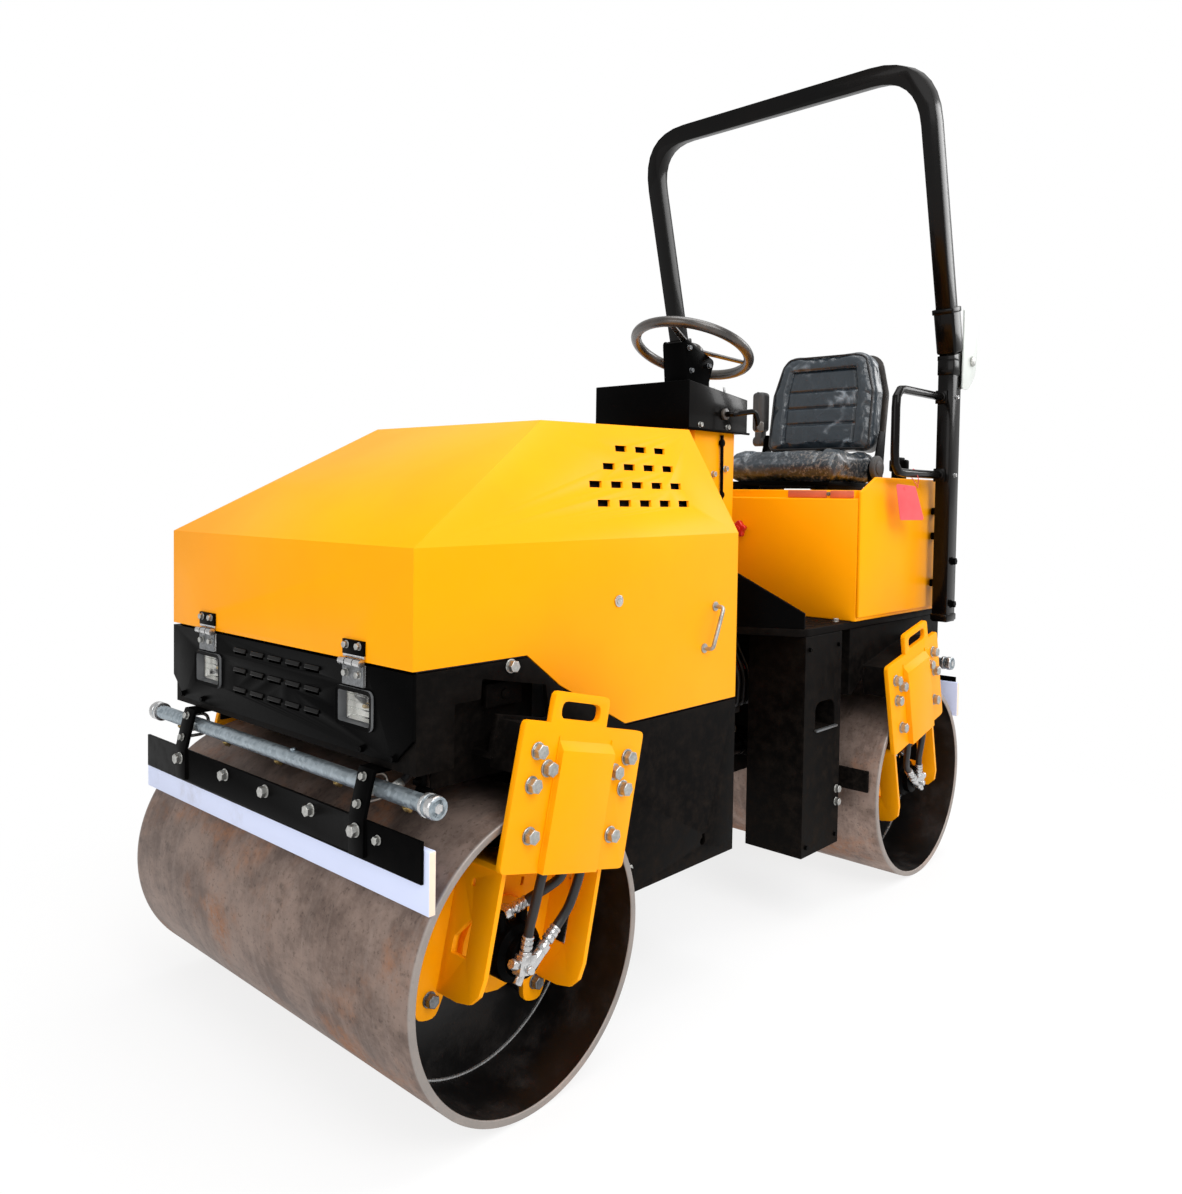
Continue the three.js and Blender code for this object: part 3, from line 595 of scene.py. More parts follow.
def hex_bolt(size, washer=True):
    """A hexagon bolt head on its washer, standing on the origin, of so many metres across flats."""
    parts = []
    base = 0.12 * size if washer else 0.0
    if washer:
        parts.append(rod("washer", (0, 0, 0), (0, 0, base), size * 0.66, 24, size * 0.03, 1))
    head = rod("head", (0, 0, base), (0, 0, base + 0.55 * size), size * 0.577, 6, 0)
    choose(head, faces((0, 0, 1)))
    bpy.ops.mesh.inset(thickness=size * 0.06)
    bpy.ops.transform.translate(value=(0, 0, size * 0.05))
    bpy.ops.mesh.inset(thickness=size * 0.2)
    bpy.ops.transform.translate(value=(0, 0, -size * 0.03))
    close()
    ease(head, size * 0.02, 1)
    return join("bolt", [*parts, head])


def on_sides(y, *spots):
    """Bolt spots, each an X and a Z, on the machine's two sides at a distance from its middle."""
    return [((x, side * y, z), (0, side, 0)) for side in (LEFT, RIGHT) for x, z in spots]


def bolts(name, size, spots, body, finish=None, washer=True):
    """Bolts of one size, each spot a point and the way that its head looks."""
    model = hex_bolt(size, washer)
    places = [at(spot, way, 0.4 + 1.3 * i) for i, (spot, way) in enumerate(spots)]
    return fit(copies(name, model, places), finish or ZINC, body)


# ------------------------------------------------------------------ camera, floor and light

LAMPS = (("key", (1.2, 4.2, 4.6), 3.4, 190), ("top", (-0.6, 0.4, 5.2), 3.2, 120),
         ("front", (5.0, 0.2, 2.6), 2.6, 55), ("rim", (-5.0, 2.4, 3.3), 2.4, 100))


def camera():
    """The eye, at chest height off the machine's left front corner, looking back along it."""
    eye_at = (2.02505, 1.73498, 1.10865)
    yaw, pitch, roll = 3.881, 0.037, 0.015
    look = Vector((math.cos(yaw) * math.cos(pitch), math.sin(yaw) * math.cos(pitch), -math.sin(pitch)))
    right = Vector((math.sin(yaw), -math.cos(yaw), 0))
    up = right.cross(look)
    side = math.cos(roll) * right + math.sin(roll) * up
    top = -math.sin(roll) * right + math.cos(roll) * up
    lens = bpy.data.cameras.new("camera")
    lens.lens, lens.sensor_width, lens.shift_y = 29.835, 36.0, -0.0532
    lens.clip_start, lens.clip_end = 0.05, 200
    eye = bpy.data.objects.new("camera", lens)
    bpy.context.scene.collection.objects.link(eye)
    turn = Matrix((side, top, -look)).transposed().to_4x4()
    eye.matrix_world = Matrix.Translation(eye_at) @ turn
    bpy.context.scene.camera = eye


def floor_and_sky():
    """A pale floor that keeps the object's shadow and runs out to white, under a white sky."""
    bpy.ops.mesh.primitive_plane_add(size=80, location=(0, 0, 0))
    floor = take("studio_floor")
    ground = Finish("studio_floor", (0.86, 0.86, 0.86), 0.9, Specular_IOR_Level=0.0)
    ray = ground.add("LightPath", {}, out="Is Camera Ray")
    glossy = ground.add("LightPath", {}, out="Is Glossy Ray")
    clear = ground.add("LightPath", {}, out="Is Transmission Ray")
    seen = ray.maths("MINIMUM", ray + glossy + clear, 1.0)
    glow = ground.add("Emission", {}, Color=(1, 1, 1, 1), Strength=1.0)
    far = ground.add("VectorMath", {"operation": "LENGTH"}, ground.place(scale=(0.8, 1.0, 1.0)), out="Value")
    white = 0.80 + 0.20 * far.between(0.75, 2.0)
    both = ground.add("MixShader", {}, seen * white, Wire(ground, ground.shader.outputs[0]), glow)
    ground.plug(ground.tree.nodes["Material Output"], {"Surface": both})
    floor.data.materials.append(ground.material)

    world = bpy.data.worlds.new("studio")
    bpy.context.scene.world = world
    world.use_nodes = True
    tree = world.node_tree
    sky = tree.nodes["Background"]
    path = tree.nodes.new("ShaderNodeLightPath")
    total = tree.nodes.new("ShaderNodeMath")
    total.operation = "ADD"
    tree.links.new(path.outputs["Is Camera Ray"], total.inputs[0])
    tree.links.new(path.outputs["Is Transmission Ray"], total.inputs[1])
    scale = tree.nodes.new("ShaderNodeMapRange")
    tree.links.new(total.outputs[0], scale.inputs["Value"])
    scale.inputs["To Min"].default_value, scale.inputs["To Max"].default_value = 0.62, 1.0
    tree.links.new(scale.outputs[0], sky.inputs["Strength"])
    sky.inputs["Color"].default_value = (1, 1, 1, 1)

def lamps():
    """Soft square lamps round the object, each aimed at its middle."""
    for name, spot, size, power in LAMPS:
        lamp = bpy.data.lights.new(name, "AREA")
        lamp.energy, lamp.size = power, size
        stand = bpy.data.objects.new(name, lamp)
        bpy.context.scene.collection.objects.link(stand)
        aim = Vector((0, 0, 0.8)) - Vector(spot)
        stand.matrix_world = Matrix.Translation(spot) @ aim.to_track_quat("-Z", "Y").to_matrix().to_4x4()


camera()
floor_and_sky()
lamps()
bpy.context.scene.view_settings.view_transform = "Standard"


# ------------------------------------------------------------------ drums

DRUM_WALL, DRUM_EDGE = 0.014, 0.4985
WEB_DEPTH, WEB_RING, WEB_DISH = 0.168, 0.19, 0.012
WEB_BOLTS_R, WEB_BOLTS_Y = 0.105, 0.3445


def drum(end, word):
    """A rolled shell with a web set into each end, and a smooth round face for the road."""
    x = end * AXLE_X
    bpy.ops.mesh.primitive_cylinder_add(vertices=160, radius=DRUM_R, depth=1.0, location=(x, 0, AXLE_Z),
                                        rotation=(math.pi / 2, 0, 0), end_fill_type="NGON")
    shell = take(f"{word}_drum_shell")
    choose(shell, lambda face: abs(face.normal.y) > 0.9)
    bpy.ops.mesh.inset(thickness=DRUM_WALL, use_individual=True)
    close()
    for side in (LEFT, RIGHT):
        choose(shell, lambda face: face.normal.y * side > 0.9 and len(face.verts) > 8)
        bpy.ops.mesh.extrude_region_move(TRANSFORM_OT_translate={"value": (0, -side * WEB_DEPTH, 0)})
        bpy.ops.mesh.inset(thickness=WEB_RING)
        bpy.ops.transform.translate(value=(0, side * WEB_DISH, 0))
        close()
    ease(shell, 0.003, 3, 50)
    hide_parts(f"{word}_drum")
    fit(shell, STEEL[end], f"{word}_drum")
    tint(shell, drum_inside(word), lambda c: abs(c.y) < DRUM_EDGE and
         math.hypot(c.x - x, c.z - AXLE_Z) < DRUM_R - DRUM_WALL + 0.0001)
    for side, hand in SIDES:
        ring = []
        for a in [k * math.pi / 6 for k in range(12)]:
            spot = (x + WEB_BOLTS_R * math.cos(a), side * WEB_BOLTS_Y, AXLE_Z + WEB_BOLTS_R * math.sin(a))
            ring.append((spot, (0, side, 0)))
        bolts(f"{word}_web_bolts_{hand}", 0.017, ring, f"{word}_drum")
    welds = []
    for side in (LEFT, RIGHT):
        bpy.ops.mesh.primitive_torus_add(major_radius=0.2645, minor_radius=0.0035, major_segments=96,
                                         minor_segments=8, location=(x, side * 0.334, AXLE_Z),
                                         rotation=(math.pi / 2, 0, 0))
        welds.append(take("weld"))
    fit(join(f"{word}_drum_welds", welds), BRIGHT, f"{word}_drum")


def drum_inside(word):
    """The black, oily inside of a drum."""
    f = Finish(f"drum_inside_{word}", (0.011, 0.010, 0.009), 0.35, 0.2, Specular_IOR_Level=0.35)
    dirt = f.cloud(7, 7.0, 0.7).between(0.45, 0.75)
    sheen = f.cloud(26, 4.0, seed=2.0)
    f.set(Base_Color=f.mix(dirt, (0.004, 0.0035, 0.0035), (0.022, 0.018, 0.016)),
          Roughness=0.28 + 0.4 * dirt + 0.1 * sheen)
    return f.bumps(dirt + 0.4 * sheen, 0.002, 0.4).material


for end, word in ENDS:
    drum(end, word)


# ------------------------------------------------------------------ openings in the frame's shapes

LOUVRES = [(y, z) for z in (0.781, 0.741, 0.701) for y in (-0.134, -0.066, 0.0, 0.066, 0.132)]
LAMP = {"y": (0.2135, 0.3235), "z": (0.6965, 0.7675), "face": 1.0315, "rim": 0.006}


def nose_holes():
    """The louvres' slots and the pockets of the two headlamps."""
    made = [block("slot", (1.000, y - 0.0225, z - 0.004), (1.040, y + 0.0225, z + 0.003), 0)
            for y, z in LOUVRES]
    (y0, y1), (z0, z1) = LAMP["y"], LAMP["z"]
    for side in (LEFT, RIGHT):
        low, high = spread(side, y0 + 0.003, y1 - 0.003)
        made.append(block("pocket", (0.990, low, z0 + 0.003), (1.060, high, z1 - 0.003), 0))
    return join("nose_holes", made)


def on_corner(piece, end, side):
    """Moves a piece made in a bracket's own frame to its corner of the machine."""
    piece.data.transform(corner(end, side))
    if end * side < 0:
        piece.data.flip_normals()
    return piece


def arm_holes(end):
    """The arms are square tubes, open at their outer ends."""
    made = [block("hole", (-0.152, 0.436, 0.333), (0.117, 0.515, 0.404), 0) for side in (LEFT, RIGHT)]
    return join("arm_holes", [on_corner(hole, end, side) for hole, side in zip(made, (LEFT, RIGHT))])


def keyholes():
    """The drain holes low in the body's sides, a round one with a slot above it."""
    made = []
    for side in (LEFT, RIGHT):
        made.append(rod("hole", (0.204, side * 0.415, 0.330), (0.204, side * 0.450, 0.330), 0.0095, 20, 0))
        low, high = spread(side, 0.415, 0.450)
        made.append(block("hole", (0.196, low, 0.330), (0.206, high, 0.347), 0))
    return join("keyholes", made)


SIDE_OPENING = [(0.936, 0.600, 0.006), (0.936, 0.750, 0.006), (0.877, 0.750, 0.004), (0.874, 0.786, 0.004),
                (0.715, 0.755, 0.006), (0.705, 0.690, 0.006), (0.836, 0.7175, 0.002), (0.857, 0.620, 0.002),
                (0.862, 0.600, 0.002)]


def side_openings():
    """The openings in the body's sides, ahead of and above the bracket arms."""
    hole = plate("hole", SIDE_OPENING, 0.070, Matrix.Translation((0, 0.450, 0)) @ SIDEWAYS, 0)
    return copies("side_openings", hole, BOTH)


def rib_holes(end, side):
    """The lightening holes of a bracket's two ribs, and the small slots above them."""
    hole = [(0.405, -0.002), (0.445, -0.002), (0.445, 0.068), (0.407, 0.026)]
    slot = [(0.428, 0.118), (0.436, 0.118), (0.436, 0.132), (0.428, 0.132)]
    made = []
    for u in (0.100, -0.154):
        for outline in (hole, slot):
            rounded = [(v, w, 0.003) for v, w in outline]
            made.append(plate("hole", rounded, 0.03, Matrix.Translation((u, 0, 0)) @ ACROSS, 0))
    made.append(block("hole", (-0.055, 0.365, 0.099), (-0.047, 0.395, 0.115), 0))
    return on_corner(join("rib_holes", made), end, side)


# ------------------------------------------------------------------ the frame's own shapes, eased

WIDTH = {"hood": 0.0035, "seat_box": 0.003, "dash_box": 0.002, "rops_hoop": 0.007, "rops_post_left": 0.007,
         "rops_post_right": 0.007, "nose_panel": 0.001, "side_panel_left": 0.003, "side_panel_right": 0.003}
DUSTY_NODES = ("side_box_left", "side_box_right", "rear_frame", "front_frame", "floor_plate")
GLOSS_NODES = ("rops_hoop", "rops_post_left", "rops_post_right", "grab_rail_left", "grab_rail_right",
               "drive_lever", "dash_box")
KIND = {**dict.fromkeys(DUSTY_NODES, DUSTY), **dict.fromkeys(GLOSS_NODES, GLOSS)}
MADE_NEW = {"front_drum", "rear_drum", "headlight_left", "headlight_right", "seat_cushion", "seat_backrest",
            "steering_wheel", "armrest", "engine_block"}
CUTS = {"nose_panel": lambda: [nose_holes()],
        "front_frame": lambda: [nose_holes(), arm_holes(FRONT), keyholes(), side_openings()],
        "rear_frame": lambda: [arm_holes(REAR)]}
for end, word in ENDS:
    for side, hand in SIDES:
        KIND[f"{word}_motor_{hand}"] = BLACK
        CUTS[f"{word}_bracket_{hand}"] = lambda end=end, side=side: [rib_holes(end, side)]
done = {}
for node in frame["nodes"]:
    if node not in MADE_NEW:
        cut = CUTS[node]() if node in CUTS else None
        done[node] = finished(node, node + "_piece", KIND.get(node), WIDTH.get(node, 0.002), cut=cut)


# ------------------------------------------------------------------ nose: louvres, lamps and hinges

HINGE_X, HINGE_Y, HINGE_Z = 1.035, 0.268, 0.814


def nose():
    """The nose's louvre lips, headlamps, hinge details and bolts."""
    tint(done["nose_panel"], HINGE_GREY, lambda c: c.x > 1.0263 and 0.770 < c.z < 0.806)
    tint(done["nose_panel"], BRIGHT, lambda c: c.x > 1.0263 and c.z >= 0.806)
    tint(done["hood"], BLACK, lambda c: c.x > 1.0262 and c.z < 0.856)
    lip = block("lip", (1.0245, -0.024, 0.0015), (1.0305, 0.024, 0.0085), 0)
    choose(lip, lambda face: face.normal.z > 0.9)
    bpy.ops.transform.translate(value=(-0.002, 0, 0.0015))
    close()
    ease(lip, 0.0018, 3)
    lips = copies("nose_louvre_lips", lip, [Matrix.Translation((0, y, z)) for y, z in LOUVRES])
    fit(lips, GLOSS, "front_module")

    (y0, y1), (z0, z1), face = LAMP["y"], LAMP["z"], LAMP["face"]
    tray = block("tray", (face - 0.036, y0, z0), (face, y1, z1), 0)
    choose(tray, lambda edge: abs(edge.verts[0].co.x - edge.verts[1].co.x) > 0.02, "edges")
    bpy.ops.mesh.bevel(offset=0.012, segments=4, affect="EDGES")
    close()
    choose(tray, faces((1, 0, 0)))
    bpy.ops.mesh.inset(thickness=LAMP["rim"])
    bpy.ops.transform.translate(value=(-0.0015, 0, 0))
    bpy.ops.mesh.inset(thickness=0.0015)
    bpy.ops.mesh.extrude_region_move(TRANSFORM_OT_translate={"value": (-0.0185, 0, 0)})
    bpy.ops.mesh.inset(thickness=0.002)
    bpy.ops.mesh.extrude_region_move(TRANSFORM_OT_translate={"value": (-0.005, 0, 0)})
    bpy.ops.mesh.inset(thickness=0.011)
    bpy.ops.transform.translate(value=(-0.005, 0, 0))
    close()
    ease(tray, 0.0008, 2)
    housing = fit(copies("headlamp_housings", tray, BOTH), GREY, "front_module")
    tint(housing, MIRROR_CHROME, lambda c: face - 0.0355 < c.x < face - 0.0215 and
         y0 + 0.008 < abs(c.y) < y1 - 0.008 and z0 + 0.008 < c.z < z1 - 0.008)
    tint(housing, BLACK, lambda c: c.x > face - 0.003)
    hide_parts("headlight_left", "headlight_right")

    glass = block("glass", (face - 0.0215, y0 + 0.0075, z0 + 0.0075),
                  (face - 0.0185, y1 - 0.0075, z1 - 0.0075), 0.0008)
    ribs = [block("rib", (face - 0.0190, y0 + 0.012, z0 + 0.017 + 0.012 * k),
                  (face - 0.0176, y1 - 0.012, z0 + 0.0195 + 0.012 * k), 0.0006) for k in range(4)]
    fit(copies("headlamp_lenses", glass, BOTH), CLEAR, "front_module")
    fit(copies("headlamp_lens_ribs", join("ribs", ribs), BOTH), CLEAR, "front_module")
    middle = ((y0 + y1) / 2, (z0 + z1) / 2)
    bulb = [rod("bulb", (face - 0.036, *middle), (face - 0.0285, *middle), 0.006, 20, 0.0025, 3),
            rod("bulb", (face - 0.030, *middle), (face - 0.0235, *middle), 0.0042, 20, 0.003, 3)]
    fit(copies("headlamp_bulbs", join("bulb", bulb), BOTH), BRASS, "front_module")

    for word, z, body in (("upper", 0.843, "hood"), ("lower", 0.793, "front_module")):
        spots = [((1.0308, side * y, z), (1, 0, 0)) for side in (LEFT, RIGHT) for y in (0.249, 0.287)]
        bolts(f"hinge_bolts_{word}", 0.011, spots, body)
    spots = [((1.0258, side * y, z), (1, 0, 0)) for side in (LEFT, RIGHT)
             for y, z in ((0.292, 0.664), (0.383, 0.663))]
    bolts("nose_bolts", 0.010, spots, "front_module", BLACK)
    leaf = [block("leaf", (1.0262, side * HINGE_Y - 0.032, 0.8210), (1.0300, side * HINGE_Y + 0.032, 0.8290),
                  0.0006) for side in (LEFT, RIGHT)]
    fit(join("hinge_leaf_roots", leaf), BRIGHT, "hood")
    knuckles = [rod("knuckle", (HINGE_X, y - 0.0004, HINGE_Z), (HINGE_X, y + 0.0004, HINGE_Z), 0.0074, 24, 0)
                for side in (LEFT, RIGHT) for y in (side * HINGE_Y - 0.012, side * HINGE_Y + 0.012)]
    fit(join("hinge_knuckle_gaps", knuckles), BLACK, "front_module")


nose()


# ------------------------------------------------------------------ scraper and spray pipe

PIPE_X, PIPE_Z = 1.022, 0.603
STRAPS = (-0.325, 0.325)


def scraper(end, word):
    """The bar's bolts, and the spray pipe's U-bolts, caps and nozzles. Made for the front, then turned."""
    place = [Matrix.Diagonal((end, 1, 1, 1))]
    body = f"{word}_module"
    spots = [(1.0615, y, 0.537) for y in STRAPS] + [(1.0556, y, 0.537) for y in (-0.138, 0.018, 0.177)]
    large = [at(spot, (1, 0, 0), 0.5 * i) for i, spot in enumerate(spots)]
    small = [at((1.0556, 0.381, 0.532), (1, 0, 0), 0.3)]
    model = join("set", [copies("bolt", hex_bolt(0.019), large), copies("bolt", hex_bolt(0.013), small)])
    fit(copies(f"{word}_scraper_bolts", model, place), ZINC, body)

    forward = Vector((0.969, 0, 0.245))
    parts = []
    for y in STRAPS:
        loop = [(1.062, y, 0.5805), (0.9985, y, 0.5805), (0.9985, y, 0.6255), (1.052, y, 0.6255)]
        parts.append(bent("u_bolt", loop, 0.0035, 0.022, 8, 8))
        for x, z in ((1.0566, 0.5805), (1.0453, 0.6255)):
            parts.append(copies("nut", hex_bolt(0.012), [at((x, y, z), forward, 0.2)]))
        parts.append(block("saddle", (1.034, y - 0.016, 0.594), (1.0455, y + 0.016, 0.612), 0.001))
    fit(copies(f"{word}_pipe_clamps", join("clamps", parts), place), ZINC, body)

    caps = []
    for y, way in ((0.498, 1), (-0.526, -1)):
        for inner, outer, *shape in ((0.0315, 0.024, 0.0205, 32, 0.001), (0.020, 0, 0.0205, 32, 0.006, 4),
                                     (0.004, -0.0005, 0.009, 6, 0.001)):
            start, stop = (PIPE_X, y - way * inner, PIPE_Z), (PIPE_X, y - way * outer, PIPE_Z)
            caps.append(rod("cap", start, stop, *shape))
    fit(copies(f"{word}_pipe_caps", join("caps", caps), place), BRIGHT, body)

    nozzle = join("nozzle", [rod("nozzle", (PIPE_X, 0, 0.5895), (1.015, 0, 0.5815), 0.0075, 6, 0.0006, 1),
                             rod("nozzle", (1.016, 0, 0.5825), (1.011, 0, 0.577), 0.0045, 16, 0.001)])
    places = [place[0] @ Matrix.Translation((0, y, 0)) for y in (-0.41, -0.205, 0.0, 0.205, 0.41)]
    fit(copies(f"{word}_spray_nozzles", nozzle, places), BRASS, body)
    plug = rod("plug", (PIPE_X, 0.06, 0.616), (PIPE_X, 0.06, 0.6215), 0.006, 6, 0.0008, 1)
    fit(copies(f"{word}_pipe_plug", plug, place), PIPE, body)

    feed = bent("feed", [(1.012, 0.370, 0.612), (0.996, 0.372, 0.618), (0.975, 0.375, 0.6405)], 0.007, 0.02)
    barb = rod("barb", (1.015, 0.3685, 0.609), (1.000, 0.3715, 0.6165), 0.0095, 6, 0.001, 1)
    valve = join("valve", [rod("valve", (0.985, 0.405, 0.6400), (0.985, 0.405, 0.612), 0.009, 20, 0.002),
                           rod("valve", (0.985, 0.405, 0.628), (1.004, 0.412, 0.624), 0.006, 16, 0.002),
                           block("valve", (0.977, 0.397, 0.6015), (0.993, 0.428, 0.6125), 0.003)])
    fit(copies(f"{word}_water_hose", feed, place), RUBBER, body)
    fit(copies(f"{word}_water_barb", barb, place), ZINC, body)
    fit(copies(f"{word}_water_valve", valve, place), BLACK, body)


for end, word in ENDS:
    scraper(end, word)


# ------------------------------------------------------------------ brackets: bolts, hoses and buffers

def on_corners(name, model, finish):
    """A model made in a bracket's own frame, put at the machine's four corners."""
    for end, word in ENDS:
        pair = copies(f"{word}_{name}", model, [corner(end, LEFT), corner(end, RIGHT)], keep=True)
        fit(pair, finish, f"{word}_module")
    drop(model)


def ferrule(start, end, radius):
    """A crimped hose end: a hexagon, a collar and a sleeve with three crimps."""
    start, end = Vector(start), Vector(end)
    way = end - start
    parts = [rod("hex", start, start + way * 0.3, radius * 1.25, 6, radius * 0.08, 1),
             rod("collar", start + way * 0.3, start + way * 0.42, radius * 0.8, 20, radius * 0.08, 1)]
    crimps = ((0.42, 0.60, 1.08), (0.60, 0.66, 0.96), (0.66, 0.82, 1.08), (0.82, 0.88, 0.96),
              (0.88, 1.0, 1.06))
    parts += [rod("crimp", start + way * a, start + way * b, radius * r, 20, radius * 0.12, 2)
              for a, b, r in crimps]
    return join("ferrule", parts)


BOLT_SPOTS = [(0.124, 0.371), (0.092, 0.342), (0.125, 0.312), (0.110, 0.225)]
BRACKET_MIDDLE = -0.017
bolt_places = [at((BRACKET_MIDDLE + way * a, 0.518, w), (0, 1, 0), 0.4 + a * 9 + way)
               for a, w in BOLT_SPOTS for way in (-1, 1)]
on_corners("bracket_bolts", copies("bolt", hex_bolt(0.024), bolt_places), ZINC)

# each hose: where its fitting starts and its ferrule ends, then its way up into the cover
HOSES = [
    ((0.034, 0.438, 0.066), (0.006, 0.458, 0.094),
     [(-0.012, 0.480, 0.118), (-0.030, 0.503, 0.146), (-0.024, 0.511, 0.200), (-0.02, 0.511, 0.26)]),
    ((0.018, 0.488, 0.004), (0.020, 0.490, 0.042),
     [(0.024, 0.497, 0.090), (0.030, 0.507, 0.145), (0.030, 0.511, 0.190), (0.03, 0.511, 0.25)]),
    ((-0.020, 0.488, 0.012), (-0.050, 0.490, 0.052),
     [(-0.070, 0.496, 0.090), (-0.073, 0.506, 0.142), (-0.070, 0.511, 0.200), (-0.07, 0.511, 0.25)]),
]
FERRULE_R = 0.0105
sleeves, tubes = [], []
for start, stop, path in HOSES:
    sleeves.append(ferrule(start, stop, FERRULE_R))
    first = Vector(stop) + (Vector(stop) - Vector(start)).normalized() * 0.02
    tubes.append(bent("hose", [stop, first, *path], FERRULE_R * 0.86, 0.045, 8, 10))
on_corners("motor_hoses", join("hoses", tubes), RUBBER)
elbows = [block("manifold", (-0.006, 0.4775, -0.026), (0.034, 0.4985, 0.010), 0.003),
          rod("port", (0.018, 0.488, -0.012), (0.018, 0.488, 0.010), 0.0140, 6, 0.001, 1),
          rod("port", (0.000, 0.488, -0.012), (-0.022, 0.488, 0.014), 0.0125, 6, 0.001, 1),
          rod("port", (0.014, 0.498, -0.014), (0.014, 0.506, -0.014), 0.0085, 6, 0.001, 1),
          rod("plug", (0.036, 0.4885, -0.008), (0.050, 0.4885, -0.004), 0.0100, 6, 0.001, 1),
          rod("plug", (0.020, 0.4885, -0.022), (0.026, 0.4885, -0.042), 0.0085, 6, 0.001, 1),
          rod("cap", (-0.026, 0.434, 0.077), (-0.026, 0.434, 0.088), 0.0135, 6, 0.001, 1),
          rod("nut", (0.026, 0.434, 0.060), (0.026, 0.434, 0.080), 0.0140, 6, 0.001, 1)]
on_corners("motor_fittings", join("fittings", [*sleeves, *elbows]), BRIGHT)

for end, word in ENDS:
    for side, hand in SIDES:
        tint(done[f"{word}_motor_{hand}"], YELLOW, lambda c: abs(abs(c.y) - 0.4003) < 0.0012 or
             abs(c.y) < 0.402 and math.hypot(c.x - end * AXLE_X, c.z - AXLE_Z) > 0.07)
ring = [at((0.071 * math.cos(a), 0.4005, 0.071 * math.sin(a)), (0, 1, 0), a) for a in
        [math.radians(45 + 90 * k) for k in range(4)]]
lobes = [at((u, 0.386, -0.088), (0, 1, 0), 0.3) for u in (-0.133, 0.133)]
motor_bolts = [copies("bolt", hex_bolt(0.016), ring), copies("bolt", hex_bolt(0.022), lobes)]
on_corners("motor_bolts", join("set", motor_bolts), HINGE_GREY)
pad = [rod("pad", (u, 0.3485, -0.088), (u, 0.3740, -0.088), 0.030, 32, 0.005, 3) for u in (-0.133, 0.133)]
cup = [rod("cup", (u, 0.372, -0.088), (u, 0.3745, -0.088), 0.033, 32, 0.001, 1) for u in (-0.133, 0.133)]
on_corners("drive_buffers", join("pads", [*pad, *cup]), RUBBER)
seam = [block("seam", (u - 0.0015, 0.5178, 0.170), (u + 0.0015, 0.5205, 0.400), 0.0012)
        for u in (BRACKET_MIDDLE - 0.0725, BRACKET_MIDDLE + 0.0725)]
on_corners("cover_welds", join("seams", seam), YELLOW)


# ------------------------------------------------------------------ hood and body: handles, locks and bolts

def grab_handle():
    """A D handle on two feet, for the left side of the hood."""
    top, foot = Vector((0.173, 0.432, 0.864)), Vector((0.213, 0.432, 0.772))
    out = Vector((0, 0.024, 0))
    bar = bent("bar", [top - out * 0.1, top + out, foot + out, foot - out * 0.1], 0.0048, 0.010, 6, 10)
    feet = [rod("foot", spot - out * 0.05, spot + out * 0.13, 0.011, 24, 0.0012) for spot in (top, foot)]
    return join("handle", [bar, *feet])


fit(copies("hood_handles", grab_handle(), BOTH), ZINC, "hood")
lock = join("lock", [rod("lock", (0.511, 0.4315, 0.899), (0.511, 0.4355, 0.899), 0.0125, 32, 0.0015),
                     rod("lock", (0.511, 0.4350, 0.899), (0.511, 0.4375, 0.899), 0.0085, 32, 0.0012),
                     block("lock", (0.5075, 0.4370, 0.8975), (0.5145, 0.4382, 0.9005), 0.0004)])
fit(copies("hood_locks", lock, BOTH), BRIGHT, "hood")
seal_line = [(1.012, 0.8135), (0.765, 0.8135), (0.677, 0.7465), (0.482, 0.6425), (0.092, 0.6425)]
seal = bent("seal", [(x, 0.4235, z) for x, z in seal_line], 0.0032, 0.012, 4, 6)
fit(copies("hood_seals", seal, BOTH), RUBBER, "front_module")
for x, z, size in ((0.806, 0.801, 0.020), (0.470, 0.341, 0.015)):
    bolts(f"body_bolts_{round(x * 1000)}", size, on_sides(0.4318, (x, z)), "front_module")
spots = [((0.0845, side * y, z), (-1, 0, 0)) for side in (LEFT, RIGHT)
         for y in (0.405, 0.30) for z in (0.612, 0.32)]
bolts("body_corner_bolts", 0.012, spots, "front_module")

outline = [(0.944, 0.592), (0.944, 0.758), (0.882, 0.758), (0.880, 0.792), (0.700, 0.762), (0.700, 0.592)]
back_form = plate("back", outline, 0.003, Matrix.Translation((0, 0.3795, 0)) @ SIDEWAYS, 0.0006)
fit(copies("opening_backs", back_form, BOTH), DUSTY, "front_module")
stay = join("stay", [block("stay", (0.744, 0.386, 0.722), (0.834, 0.398, 0.766), 0.003),
                     rod("stay", (0.789, 0.397, 0.744), (0.789, 0.402, 0.744), 0.010, 6, 0.001)])
fit(copies("opening_stays", stay, BOTH), DUSTY, "front_module")


# ------------------------------------------------------------------ under the hood

# A black finned screen just behind the nose's louvres, which paints the shade seen through their slots.
screen = [block("core", (0.962, -0.175, 0.668), (0.992, 0.175, 0.805), 0.003)]
screen += [block("fin", (0.9915, -0.165 + 0.0137 * k, 0.676), (0.9945, -0.162 + 0.0137 * k, 0.797), 0)
           for k in range(25)]
fit(join("louvre_shade_screen", screen), BLACK, "front_module")


def hood_liner():
    """Black foam under the hood's sloping sides and top, behind the slots."""
    slope = (0.432 - 0.283) / (1.265 - 1.020)
    high, low = 1.245, 1.060
    y_high, y_low = (0.414 - slope * (z - 1.020) for z in (high, low))
    points = [(0.120, y_low, low), (0.640, y_low, low), (0.560, y_high, high), (0.120, y_high, high)]
    bpy.ops.mesh.primitive_plane_add(size=1)
    sheet = take("liner")
    for vertex, spot in zip(sorted(sheet.data.vertices, key=lambda v: math.atan2(v.co.y, v.co.x)), points):
        vertex.co = spot
    choose(sheet, lambda face: True)
    bpy.ops.mesh.normals_make_consistent(inside=False)
    close()
    return modify(sheet, "SOLIDIFY", thickness=0.004, offset=0.0)


fit(copies("hood_liner", hood_liner(), BOTH), RUBBER, "hood")


